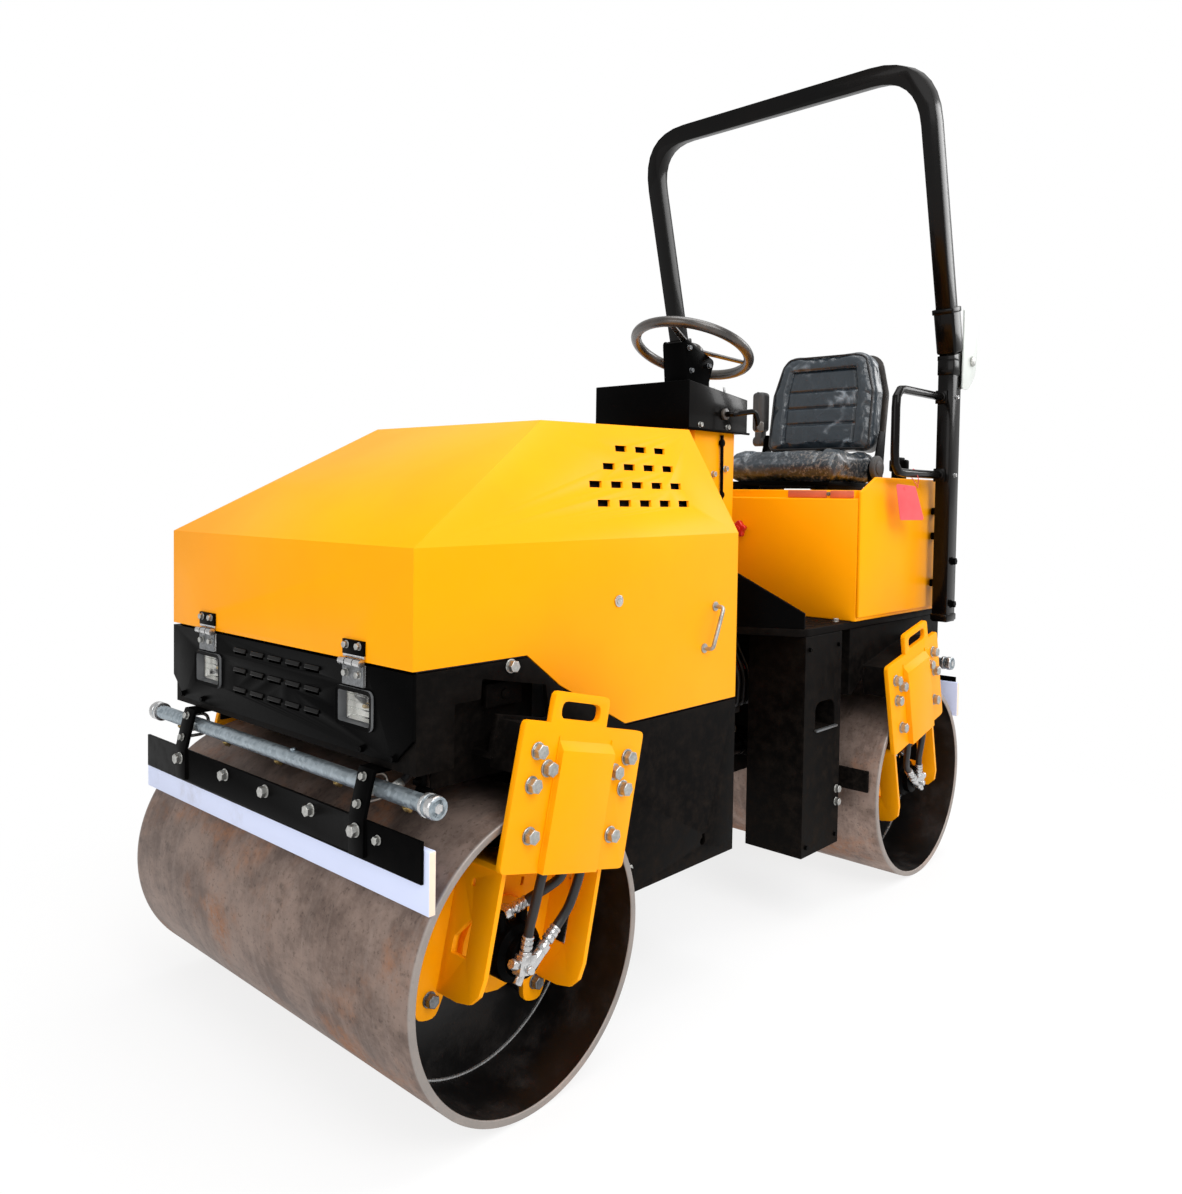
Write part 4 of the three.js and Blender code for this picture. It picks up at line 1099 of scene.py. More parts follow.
def engine():
    """The engine's castings, fins, covers, fan and pulley, fitted to the frame's plain block."""
    (x0, y0, z0), (x1, y1, z1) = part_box("engine_block")
    core = block("engine_core", (x0 + 0.012, y0 + 0.02, z0), (x1 - 0.03, y1 - 0.02, z1 - 0.12), 0.006, 2)
    head = block("engine_head", (x0 + 0.03, y0 + 0.06, z1 - 0.125), (x1 - 0.05, y1 - 0.06, z1 - 0.045), 0.006)
    fins = [block("fin", (x0 + 0.024, y0 + 0.052, z), (x1 - 0.044, y1 - 0.052, z + 0.0035), 0.0008, 1)
            for z in [z1 - 0.118 + 0.0105 * k for k in range(7)]]
    sump = block("sump", (x0, y0 + 0.01, z0), (x1 - 0.03, y1 - 0.01, z0 + 0.09), 0.012, 3)
    feet = [block("foot", (x, y_low, z0), (x + 0.05, y_high, z0 + 0.03), 0.003)
            for x in (x0 + 0.02, x1 - 0.10) for y_low, y_high in ((0.185, 0.205), (-0.205, -0.185))]
    piece = join("engine_castings", [core, head, *fins, sump, *feet])
    fit(piece, CASTING, "front_module")
    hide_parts("engine_block")
    covers = [block("rocker", (x0 + 0.06, -0.085, z1 - 0.05), (x1 - 0.09, 0.085, z1 - 0.006), 0.014, 4),
              rod("filler", (x0 + 0.11, 0, z1 - 0.02), (x0 + 0.11, 0, z1), 0.024, 32, 0.003)]
    fit(join("engine_covers", covers), BLACK, "front_module")
    spots = [((x, y, z1 - 0.0065), (0, 0, 1)) for x in (x0 + 0.08, x1 - 0.11) for y in (-0.068, 0.068)]
    bolts("engine_bolts", 0.012, spots, "front_module")

    axis = Matrix.Translation((x1, 0, 0.70))
    shroud = [turned("shroud", axis, (-0.032, -0.002, 0.150, 48, 0.006, 3))]
    for k in range(12):
        vane = block("vane", (-0.004, -0.006, 0.022), (-0.0005, 0.006, 0.138), 0.002)
        vane.data.transform(axis @ Matrix.Rotation(k * math.pi / 6, 4, "X"))
        shroud.append(vane)
    fit(join("cooling_fan_shroud", shroud), GREY, "front_module")
    pulley = turned("engine_pulley", axis, (-0.002, 0.012, 0.062, 40, 0.003),
                    (0.012, 0.022, 0.054, 40, 0.002), (0.022, 0.034, 0.062, 40, 0.003),
                    (0.034, 0.046, 0.016, 6, 0.002))
    fit(pulley, HINGE_GREY, "front_module")


def beside_engine():
    """The air filter, silencer, fuel tank and battery round the engine."""
    filter_at = Matrix.Translation((0, -0.285, 0.80))
    can = turned("air_filter", filter_at, (0.20, 0.38, 0.068, 40, 0.008, 3), (0.375, 0.392, 0.072, 40, 0.004),
                 (0.390, 0.402, 0.020, 24, 0.004))
    fit(can, BLACK, "front_module")
    route = [(0.205, -0.285, 0.80), (0.165, -0.285, 0.80), (0.165, -0.20, 0.86), (0.20, -0.13, 0.87)]
    fit(bent("duct", route, 0.026, 0.05, 10, 16), RUBBER, "front_module")
    muffler_at = Matrix.Translation((0, 0.285, 0.79))
    muffler = turned("muffler", muffler_at, (0.18, 0.42, 0.062, 40, 0.014, 4),
                     (0.22, 0.235, 0.065, 40, 0.002), (0.365, 0.38, 0.065, 40, 0.002))
    pipe = bent("pipe", [(0.30, 0.13, 0.86), (0.30, 0.20, 0.86), (0.30, 0.262, 0.83)], 0.020, 0.04, 8, 16)
    fit(join("muffler", [muffler, pipe]), HINGE_GREY, "front_module")
    tank = [block("tank", (0.56, -0.38, 0.665), (0.90, -0.02, 0.93), 0.022, 4),
            rod("tank", (0.73, -0.20, 0.925), (0.73, -0.20, 0.945), 0.040, 40, 0.004),
            rod("tank", (0.73, -0.20, 0.940), (0.73, -0.20, 0.962), 0.034, 12, 0.004)]
    fit(join("fuel_tank", tank), BLACK, "front_module")
    straps = [block("strap", (x, -0.3825, 0.660), (x + 0.030, -0.0175, 0.9325), 0.003) for x in (0.62, 0.82)]
    fit(join("tank_straps", straps), ZINC, "front_module")
    battery = [block("battery", (0.60, 0.06, 0.662), (0.80, 0.36, 0.85), 0.006),
               block("battery", (0.598, 0.058, 0.832), (0.802, 0.362, 0.856), 0.004)]
    battery += [rod("battery", (0.70, y, 0.855), (0.70, y, 0.862), 0.011, 20, 0.0015)
                for y in [0.10 + 0.044 * k for k in range(6)]]
    fit(join("battery", battery), GREY, "front_module")
    posts = [rod("post", (0.635, y, 0.855), (0.635, y, 0.878), 0.009, 20, 0.001) for y in (0.10, 0.32)]
    fit(join("battery_posts", posts), BRASS, "front_module")
    to_starter = [(0.635, 0.32, 0.872), (0.560, 0.32, 0.872), (0.520, 0.29, 0.80), (0.452, 0.22, 0.66),
                  (0.41, 0.20, 0.62)]
    to_block = [(0.635, 0.10, 0.872), (0.560, 0.09, 0.872), (0.500, 0.10, 0.80), (0.42, 0.14, 0.74),
                (0.40, 0.15, 0.70)]
    leads = [bent("lead", route, 0.0065, 0.05, 8, 8) for route in (to_starter, to_block)]
    fit(join("battery_leads", leads), RUBBER, "front_module")


engine()
beside_engine()


# ------------------------------------------------------------------ centre pivot and steering cylinder

PIVOT_HOSES = ((-0.060, 0.585), (-0.028, 0.610), (0.010, 0.585), (0.045, 0.615))     # Y and height
CYLINDER_Y, CYLINDER_Z = 0.152, 0.405


def pivot():
    """The centre pin's caps and rings."""
    caps = [rod("cap", (0, 0, 0.5235), (0, 0, 0.5275), 0.040, 32, 0.0015),
            rod("cap", (0, 0, 0.5275), (0, 0, 0.5345), 0.026, 6, 0.0015),
            rod("cap", (0, 0, 0.2865), (0, 0, 0.2830), 0.040, 32, 0.0015),
            rod("nipple", (0, 0, 0.534), (0, 0, 0.543), 0.0045, 12, 0.001)]
    fit(join("pivot_pin_caps", caps), HINGE_GREY, "rear_module")
    rings = [rod("ring", (0, 0, z), (0, 0, z + 0.006), 0.047, 40, 0.001) for z in (0.3365, 0.4675)]
    fit(join("pivot_thrust_rings", rings), BRASS, "rear_module")


def steering_cylinder():
    """The cylinder's gland, band, ports and the pin at its lug."""
    y, z = CYLINDER_Y, CYLINDER_Z
    gland = [rod("gland", (-0.104, y, z), (-0.086, y, z), 0.0285, 36, 0.002),
             rod("gland", (-0.088, y, z), (-0.0815, y, z), 0.020, 36, 0.002),
             rod("band", (-0.352, y, z), (-0.338, y, z), 0.0285, 36, 0.002)]
    gland += [rod("port", (x, y, z + 0.020), (x, y, z + 0.040), 0.011, 6, 0.001) for x in (-0.135, -0.325)]
    fit(join("steering_cylinder_rings", gland), BLACK, "steering_barrel")
    ports = [rod("nut", (x, y, z + 0.040), (x, y, z + 0.058), 0.010, 6, 0.001, 1) for x in (-0.135, -0.325)]
    fit(join("steering_cylinder_ports", ports), ZINC, "steering_barrel")
    pin = [rod("pin", (0.046, y, z - 0.037), (0.046, y, z + 0.017), 0.0092, 24, 0.001),
           rod("pin", (0.046, y, z + 0.015), (0.046, y, z + 0.021), 0.016, 6, 0.001)]
    fit(join("steering_lug_pin", pin), ZINC, "steering_rod")


def pivot_hoses():
    """The hoses that cross the centre pivot, and the collars they come out of."""
    for k, (y, z) in enumerate(PIVOT_HOSES):
        path = [(-0.13, y, z), (-0.085, y, z), (-0.030, y * 1.5, z - 0.022), (0.030, y * 1.5, z - 0.020),
                (0.066, y * 1.2, z), (0.100, y * 1.2, z)]
        hose = bent(f"pivot_hose_{k + 1}", path, 0.0085, 0.03, 6, 10)
        hose.data.materials.append(RUBBER)
        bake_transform(hose)
    collars = [rod("collar", (-0.113, y, z), (-0.093, y, z), 0.0125, 6, 0.001, 1) for y, z in PIVOT_HOSES]
    fit(join("pivot_hose_collars", collars), ZINC, "rear_module")
    collars = [rod("collar", (0.068, y * 1.2, z), (0.0835, y * 1.2, z), 0.0125, 6, 0.001, 1)
               for y, z in PIVOT_HOSES]
    fit(join("bulkhead_hose_collars", collars), ZINC, "front_module")


def under_platform():
    """The tank's drain plug and the steering valve with its lines, beside the rear spine."""
    cap = [rod("cap", (-0.42, 0.100, 0.62), (-0.42, 0.122, 0.62), 0.015, 24, 0.003),
           rod("cap", (-0.42, 0.120, 0.62), (-0.42, 0.127, 0.62), 0.010, 24, 0.002)]
    fit(join("tank_plug", cap), RED, "rear_module")
    valve, lines = [block("valve", (-0.34, 0.100, 0.50), (-0.24, 0.165, 0.575), 0.004)], []
    for k in range(3):
        x = -0.32 + 0.028 * k
        valve.append(rod("union", (x, 0.16, 0.538), (x, 0.178, 0.538), 0.010, 6, 0.001))
        path = [(x, 0.176, 0.538), (x, 0.205, 0.538), (x, 0.21, 0.62), (-0.30 + 0.02 * k, 0.15, 0.752)]
        lines.append(bent("line", path, 0.0065, 0.03, 6, 8))
    fit(join("steering_valve", valve), CASTING, "rear_module")
    fit(join("steering_valve_lines", lines), RUBBER, "rear_module")


pivot()
steering_cylinder()
pivot_hoses()
under_platform()


# ------------------------------------------------------------------ platform, side boxes and seat box

lip = block("lip", (-0.393, 0.4335, 0.4985), (-0.283, 0.4445, 0.5045), 0.002)
fit(copies("foothold_lips", lip, BOTH), HINGE_GREY, "rear_module")
bolts("side_box_bolts", 0.017, on_sides(0.4348, (-0.4075, 0.324), (-0.4075, 0.289)), "rear_module")
spots = on_sides(0.4348, (-0.250, 0.720), (-0.402, 0.720), (-0.250, 0.200), (-0.402, 0.200))
bolts("side_box_small_bolts", 0.010, spots, "rear_module", BLACK)


FLOOR_Z = 0.7748


def floor_tread():
    """Raised bars on the floor plate, in pairs that cross."""
    bar = block("bar", (-0.012, -0.0022, 0), (0.012, 0.0022, 0.0016), 0)
    choose(bar, faces((0, 0, 1)))
    bpy.ops.transform.resize(value=(0.8, 0.5, 1))
    close()
    places = []
    for i in range(20):
        for j in range(34):
            x, y = -0.455 + 0.0245 * i - 0.006, -0.410 + 0.0248 * j
            if x > -0.110 or abs(y) > 0.43 - max(0, x + 0.235) * 1.85 or (abs(y) < 0.157 and x > -0.31):
                continue
            turn = math.radians(45 if (i + j) % 2 else -45)
            places.append(Matrix.Translation((x, y, FLOOR_Z)) @ Matrix.Rotation(turn, 4, "Z"))
    return copies("floor_tread", bar, places)


fit(floor_tread(), DUSTY, "rear_module")
spots = [((x, side * y, FLOOR_Z), (0, 0, 1)) for side in (LEFT, RIGHT)
         for x, y in ((-0.440, 0.405), (-0.250, 0.400), (-0.150, 0.245))]
bolts("floor_bolts", 0.014, spots, "rear_module")
spots = [((-0.0975, side * 0.17, z), (1, 0, 0)) for side in (LEFT, RIGHT) for z in (0.81, 0.93)]
bolts("toe_board_bolts", 0.012, spots, "rear_module")


def star_knob():
    """A five-lobed clamping knob that looks along +Z."""
    outline = []
    for k in range(10):
        r, rounding = (0.030, 0.008) if k % 2 == 0 else (0.019, 0.006)
        a = math.radians(36 * k)
        outline.append((r * math.cos(a), r * math.sin(a), rounding))
    head = plate("knob", outline, 0.017, Matrix.Translation((0, 0, 0.010)), 0.003, 3)
    bosses = [rod("boss", (0, 0, 0), (0, 0, 0.012), 0.012, 24, 0.001),
              rod("boss", (0, 0, 0.025), (0, 0, 0.030), 0.010, 24, 0.002)]
    return join("knob", [head, *bosses])


fit(copies("seat_box_knob", star_knob(), [at((-0.475, 0.069, 1.020), (1, 0, 0), 0.2)]), RED, "rear_module")
strips = [block("strip", (-0.4952, low, 1.1165), (-0.4918, high, 1.1368), 0.0012)
          for low, high in ((0.214, 0.338), (0.350, 0.422))]
fit(join("lid_strips", strips), STRIP_RED, "rear_module")
spots = [((-0.4945, y, 1.127), (1, 0, 0)) for y in (0.344, -0.344)]
bolts("lid_screws", 0.009, spots, "rear_module", HINGE_GREY)
bail = [(-0.4665, y, z) for y, z in ((-0.014, 1.070), (-0.014, 1.118), (0.014, 1.118), (0.014, 1.070))]
latch = [block("latch", (-0.4752, -0.022, 1.060), (-0.4700, 0.022, 1.108), 0.002),
         block("latch", (-0.4960, -0.016, 1.096), (-0.4700, 0.016, 1.126), 0.003),
         bent("latch", bail, 0.002, 0.006, 4, 6)]
fit(copies("lid_latches", join("latch", latch), [Matrix.Translation((0, -0.20, 0))]), BLACK, "rear_module")
hinge = [rod("hinge", (-1.0225, -0.035, 1.118), (-1.0225, 0.035, 1.118), 0.006, 20, 0.001),
         block("hinge", (-1.0325, -0.035, 1.080), (-1.0295, 0.035, 1.117), 0.001),
         block("hinge", (-1.0135, -0.035, 1.116), (-1.0095, 0.035, 1.136), 0.001)]
hinge_places = [Matrix.Translation((0, y, 0)) for y in (-0.28, 0.28)]
fit(copies("lid_hinges", join("hinge", hinge), hinge_places), HINGE_GREY, "rear_module")
cap = [rod("cap", (-0.966, 0.330, 1.138), (-0.966, 0.330, 1.206), 0.023, 40, 0.003),
       rod("cap", (-0.966, 0.330, 1.203), (-0.966, 0.330, 1.241), 0.031, 12, 0.006, 3),
       block("cap", (-0.995, 0.3235, 1.239), (-0.937, 0.3365, 1.249), 0.003)]
fit(join("filler_cap", cap), BLACK, "rear_module")
clip = [block("clip", (-0.962, 0.4545, z - 0.011), (-0.930, 0.4795, z + 0.011), 0.003)
        for z in (1.080, 1.004, 0.860)]
fit(copies("post_clips", join("clips", clip), BOTH), BLACK, "rear_module")
bolts("side_panel_bolts", 0.011, on_sides(0.4548, (-1.000, 1.145), (-1.000, 0.820)), "rear_module", BLACK)
reflector = [rod("reflector", (-1.0300, 0.36, 0.93), (-1.0355, 0.36, 0.93), 0.036, 40, 0.002),
             rod("reflector", (-1.0350, 0.36, 0.93), (-1.0385, 0.36, 0.93), 0.030, 40, 0.003, 3)]
fit(copies("rear_reflectors", join("reflector", reflector), BOTH), RED, "rear_module")
vent = block("lip", (-1.0345, -0.060, 0.0), (-1.0295, 0.060, 0.010), 0.003)
vent_places = [Matrix.Translation((0, y, z)) for y in (-0.16, 0.0, 0.16) for z in (0.86, 0.895, 0.93, 0.965)]
fit(copies("rear_vent_lips", vent, vent_places), YELLOW, "rear_module")
# A thin black strip under each vent lip paints the shade inside the vent's slot.
vent_shade_strip = block("vent_shade_strip", (-1.0310, -0.056, -0.008), (-1.0296, 0.056, 0.001), 0)
fit(copies("rear_vent_shade_strips", vent_shade_strip, vent_places), BLACK, "rear_module")
tow = [rod("tow", (-1.060, y, 0.700), (-1.066, y, 0.700), 0.012, 6, 0.001) for y in (0.045, -0.045)]
fit(join("towing_bolts", tow), ZINC, "rear_module")


# ------------------------------------------------------------------ dash, column and steering wheel

WHEEL_AT = Matrix.Translation((-0.300, 0, 1.540)) @ Matrix.Rotation(math.radians(-20), 4, "Y")
tint(done["dash_box"], BLACK, lambda c: c.x > -0.0725)


def steering_wheel():
    """The rim, three tapered spokes and the hub with its blank cap."""
    bpy.ops.mesh.primitive_torus_add(major_radius=0.1665, minor_radius=0.0148, major_segments=96,
                                     minor_segments=24)
    rim = ease(take("rim"), 0)
    spokes = []
    for degrees in (12, 132, 252):
        spoke = block("spoke", (0.024, -0.011, -0.0045), (0.162, 0.011, 0.0025), 0)
        choose(spoke, lambda face: face.normal.x > 0.9)
        bpy.ops.transform.resize(value=(1, 0.72, 1))
        close()
        ease(spoke, 0.0022, 3)
        spoke.data.transform(Matrix.Rotation(math.radians(degrees), 4, "Z"))
        spokes.append(spoke)
    hub = [rod("hub", (0, 0, -0.020), (0, 0, 0.006), 0.033, 48, 0.004, 3),
           rod("hub", (0, 0, 0.006), (0, 0, 0.0105), 0.026, 48, 0.003, 3)]
    wheel = join("steering_wheel_piece", [rim, *spokes, *hub])
    wheel.data.transform(WHEEL_AT)
    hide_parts("steering_wheel")
    return fit(wheel, RIM, "steering_wheel")


steering_wheel()
cheek = [(-0.062, -0.126), (0.034, -0.126), (0.090, -0.0095, 0.012), (-0.064, -0.0095, 0.012)]
front_cheek = [(0.030, -0.126), (0.0345, -0.126), (0.0840, -0.022), (0.0795, -0.022)]
cheeks = [plate("cheek", outline, thickness, WHEEL_AT @ Matrix.Translation((0, y, 0)) @ SIDEWAYS, soft)
          for outline, thickness, y, soft in ((cheek, 0.004, 0.0400, 0.001), (cheek, 0.004, -0.0360, 0.001),
                                              (front_cheek, 0.0735, 0.0383, 0.0006))]
fit(join("column_cheeks", cheeks), BLACK, "rear_module")
spots = [(WHEEL_AT @ Vector(spot), way) for spot, way in
         on_sides(0.040, (0.062, -0.030), (0.030, -0.085), (-0.042, -0.036))]
bolts("column_bolts", 0.012, spots, "rear_module", HINGE_GREY)
boot = [rod("boot", WHEEL_AT @ Vector((0, 0, top)), WHEEL_AT @ Vector((0, 0, top - 0.010)), radius, 32, 0.003)
        for top, radius in ((-0.024, 0.0235), (-0.035, 0.0225), (-0.046, 0.0235))]
fit(join("boot", boot), RUBBER, "rear_module")
flange = [block("flange", (-0.351, low, 1.2895), (-0.066, high, 1.2955), 0.0015)
          for low, high in (spread(LEFT, 0.165, 0.171), spread(RIGHT, 0.165, 0.171))]
fit(join("dash_flanges", flange), BLACK, "rear_module")
bolts("dash_bolts", 0.012, on_sides(0.1648, (-0.120, 1.3050), (-0.247, 1.3050)), "rear_module")
DASH_TOP = Matrix.Translation((-0.070, 0, 1.420)) @ Matrix.Rotation(-math.atan2(0.032, 0.275), 4, "Y")


def on_dash(x, y, z=0.0):
    """A point given from the dash's front edge, with z up off its sloping top."""
    return DASH_TOP @ Vector((x, y, z))


def dash_parts():
    """Two blank dials, three switches, the key and four lamps."""
    bezels, dials, needles, keys, lights = [], [], [], [], []
    for y in (-0.115, 0.115):
        bezels.append(rod("bezel", on_dash(-0.10, y, -0.002), on_dash(-0.10, y, 0.007), 0.032, 48, 0.002))
        dials.append(rod("dial", on_dash(-0.10, y, 0.006), on_dash(-0.10, y, 0.0078), 0.026, 48, 0.0006))
        needle = block("needle", (-0.0012, -0.002, 0), (0.0012, 0.019, 0.0015), 0.0003)
        needle.data.transform(Matrix.Translation(on_dash(-0.10, y, 0.0078)) @ Matrix.Rotation(y * 9, 4, "Z"))
        needles.append(needle)
    for y in [0.075 + 0.032 * k for k in range(3)]:
        keys += [rod("switch", on_dash(-0.20, y, -0.002), on_dash(-0.20, y, 0.004), 0.009, 6, 0.001),
                 rod("switch", on_dash(-0.20, y, 0.003), on_dash(-0.194, y, 0.022), 0.0032, 16, 0.0015)]
    keys += [rod("key", on_dash(-0.20, -0.10, -0.002), on_dash(-0.20, -0.10, 0.010), 0.014, 32, 0.002),
             block("key", on_dash(-0.212, -0.1015, 0.012), on_dash(-0.188, -0.0985, 0.034), 0.001)]
    for y in [-0.036 + 0.024 * k for k in range(4)]:
        lights.append(rod("light", on_dash(-0.055, y, -0.002), on_dash(-0.055, y, 0.004), 0.006, 24, 0.002))
    fit(join("dash_bezels", bezels), BLACK, "rear_module")
    fit(join("dash_dials", dials), NYLON, "rear_module")
    fit(join("dash_needles", needles), RED, "rear_module")
    fit(join("dash_switches", keys), BRIGHT, "rear_module")
    fit(join("dash_lights", lights), RED, "rear_module")


dash_parts()
linkage = [rod("rod", (-0.236, 0.1565, 1.284), (-0.243, 0.1565, 0.790), 0.0045, 16, 0.001),
           rod("end", (-0.236, 0.1535, 1.262), (-0.236, 0.1600, 1.262), 0.011, 24, 0.001),
           rod("end", (-0.240, 0.1535, 1.120), (-0.240, 0.1600, 1.120), 0.009, 24, 0.001)]
fit(join("lever_linkage", linkage), BLACK, "rear_module")
spots = on_sides(0.1498, (-0.205, 1.176), (-0.262, 1.192), (-0.160, 0.81), (-0.270, 0.81))
bolts("pedestal_bolts", 0.014, spots, "rear_module")
grip = [rod("grip", (-0.330, 0.215, 1.325), (-0.330, 0.215, 1.296), 0.0125, 32, 0.005, 4),
        rod("collar", (-0.230, 0.165, 1.340), (-0.230, 0.174, 1.340), 0.016, 32, 0.002)]
fit(join("lever_grip", grip), RIM, "rear_module")


# ------------------------------------------------------------------ hoop, posts and grab rails

PIN_X, PIN_Z, POST_X = -1.012, 1.540, -0.928
pins = [rod("pin", (PIN_X, inner, PIN_Z), (PIN_X, outer, PIN_Z), radius, sides, 0.001)
        for inner, outer, radius, sides in ((0.470, 0.5410, 0.0088, 24), (0.5345, 0.5415, 0.016, 6),
                                            (0.4705, 0.4795, 0.016, 6))]
fit(copies("hoop_pins", join("pins", pins), BOTH), ZINC, "rear_module")
lock_pin = [rod("pin", (-0.975, 0.462, 1.512), (-0.975, 0.5275, 1.512), 0.0065, 20, 0.001),
            bent("ring", [(-0.975, 0.465, 1.512), (-0.975, 0.460, 1.500), (-0.985, 0.458, 1.478),
                          (-0.966, 0.458, 1.478), (-0.975, 0.460, 1.498)], 0.0016, 0.006, 4, 6)]
fit(copies("hoop_lock_pins", join("pins", lock_pin), BOTH), BRIGHT, "rear_module")
outline = [(-0.9500, 1.452, 0.006), (-0.9930, 1.452, 0.03), (-1.0450, 1.500, 0.05), (-1.0560, 1.578, 0.08),
           (-1.0400, 1.655, 0.05), (-0.9930, 1.692, 0.03), (-0.9500, 1.692, 0.006)]
guard = plate("guard", outline, 0.0055, Matrix.Translation((0, 0.5345, 0)) @ SIDEWAYS, 0.0012)
fit(copies("hoop_hinge_guards", guard, BOTH), PALE, "rops_hoop")
leg = Matrix.Translation((POST_X, 0, 1.556)) @ Matrix.Rotation(LEAN, 4, "Y")
sleeve = join("sleeve", [block("sleeve", (-0.0310, 0.4715, 0.003), (0.0310, 0.5325, 0.138), 0.007, 3),
                         block("sleeve", (-0.0335, 0.4690, 0.122), (0.0335, 0.5335, 0.138), 0.003)])
sleeve.data.transform(leg)
fit(copies("hoop_sleeves", sleeve, BOTH), GLOSS, "rops_hoop")
wedge = [(-0.9605, 1.534, 0.002), (-0.8955, 1.534, 0.002), (-0.8955, 1.5475, 0.002), (-0.9605, 1.564, 0.002)]
pad_form = plate("pad", wedge, 0.052, Matrix.Translation((0, 0.5280, 0)) @ SIDEWAYS, 0.001)
fit(copies("hoop_stop_pads", pad_form, BOTH), GLOSS, "rear_module")
collar = [block("collar", (-0.9605, 0.4765, 1.4900), (-0.8955, 0.5275, 1.5400), 0.003),
          block("collar", (-0.9620, 0.4755, 0.7500), (-0.8940, 0.5285, 0.7700), 0.003)]
fit(copies("post_collars", join("collars", collar), BOTH), GLOSS, "rear_module")
RAIL_FEET = (1.425, 1.190)
lugs = [block("lug", (-0.8985, 0.474, z - 0.020), (-0.8920, 0.510, z + 0.020), 0.002) for z in RAIL_FEET]
lugs += [rod("lug", (-0.8930, 0.492, z), (-0.8840, 0.492, z), 0.0165, 32, 0.002) for z in RAIL_FEET]
fit(copies("grab_rail_lugs", join("lugs", lugs), BOTH), GLOSS, "rear_module")
spots = on_sides(0.5248, *[(POST_X, z) for z in RAIL_FEET])
bolts("grab_rail_bolts", 0.010, spots, "rear_module", BRIGHT)
bolts("post_bolts", 0.019, on_sides(0.5248, (POST_X, 0.800), (POST_X, 0.930)), "rear_module", BLACK)


def tag():
    """A blank card that hangs by a wire loop from the left grab rail."""
    facing = Matrix.Translation((0, 0.506, 0)) @ SIDEWAYS
    hole = Matrix.Translation((-0.717, 0, 1.158))
    hang = hole @ Matrix.Rotation(math.radians(-9), 4, "Z") @ hole.inverted()
    corners = [(-0.681, 1.158, 0.006), (-0.775, 1.153, 0.006), (-0.823, 1.056, 0.006), (-0.705, 1.056, 0.006)]
    card = plate("card", corners, 0.0012, hang @ facing, 0.0004, 1)
    loop = [(-0.719, 0.504, 1.148), (-0.717, 0.5075, 1.176), (-0.717, 0.492, 1.206), (-0.719, 0.476, 1.190),
            (-0.720, 0.490, 1.172), (-0.722, 0.5045, 1.150)]
    wire = bent("wire", loop, 0.0011, 0.008, 5, 6)
    eye_ends = [hang @ Vector((-0.723, y, 1.146)) for y in (0.5040, 0.5068)]
    eye = rod("eye", *eye_ends, 0.0055, 24, 0.0005)
    fit(card, TAG_RED, "rear_module")
    fit(join("tag_wire", [wire, eye]), TAG_RED, "rear_module")


tag()


# ------------------------------------------------------------------ seat

SEAT_Y, SEAT_HALF, PAD_TOP = 0.080, 0.205, 1.250
PAD_CAP = 0.012                    # how far the air may move a pad's cover
BACK_AT = Matrix.Translation((-0.915, SEAT_Y, 1.262)) @ Matrix.Rotation(-0.14, 4, "Y")
BACK_HIGH = 0.338


def puff(piece, cap):
    """Fills a pad under its cover with air, as foam does, with no point moving further than a cap."""
    only(piece)
    start = [vertex.co.copy() for vertex in piece.data.vertices]
    cloth = piece.modifiers.new("puff", "CLOTH")
    cloth.settings.use_pressure = True
    cloth.settings.uniform_pressure_force = 4
    cloth.settings.effector_weights.gravity = 0
    for step in range(1, 21):
        bpy.context.scene.frame_set(step)
    bpy.ops.object.modifier_apply(modifier="puff")
    bpy.context.scene.frame_set(1)
    for vertex, spot in zip(piece.data.vertices, start):
        move = vertex.co - spot
        vertex.co = spot + move * min(1.0, cap / max(move.length, 1e-6))
    return piece


def groove(distance, width):
    """A sewn groove's depth, 1 at its middle and fading to either side."""
    return math.exp(-(distance / width) ** 2)


def creases(point, seed):
    """The film's folds, as a height from 0 to about 1."""
    spot = Vector((point.x * 13 + seed, point.y * 13, point.z * 13))
    fold = wander.ridged_multi_fractal(spot, 0.9, 2.1, 4, 1.0, 2.0)
    return max(0.0, min(fold - 0.9, 1.6)) / 1.6


def sew(piece, place, shape):
    """Moves each point of a pad by its seams' depth at that point, along the pad's own +X or +Z."""
    back = place.inverted()
    for vertex in piece.data.vertices:
        spot = back @ vertex.co
        vertex.co = place @ (spot + shape(spot))
    return ease(piece, 0)


def back_half(height):
    """Half of the backrest's width at a height above its foot."""
    knee = 0.6 * BACK_HIGH
    return SEAT_HALF if height < knee else SEAT_HALF - 0.040 * (height - knee) / (BACK_HIGH - knee)


def back_sewing(spot):
    """The backrest's sunk middle panel, its pleats and the seams round it."""
    front = max(0.0, min(1.0, spot.x / 0.02))
    middle = 0.62 * back_half(spot.z)
    inside = 1.0 / (1.0 + math.exp((abs(spot.y) - middle) / 0.004))
    panel = inside * (1.0 if spot.z > 0.035 else 0.0) * (1.0 if spot.z < 0.275 else 0.0)
    pleats = max(groove(spot.z - h, 0.0045) for h in (0.095, 0.150, 0.205))
    edge = groove(abs(spot.y) - middle, 0.005) * (0.03 < spot.z < 0.28)
    top = groove(spot.z - 0.275, 0.005) * inside
    push = -0.010 * panel - 0.0065 * pleats * panel - 0.008 * edge - 0.007 * top + 0.0026 * creases(spot, 3.0)
    return Vector((front * push, 0, 0))


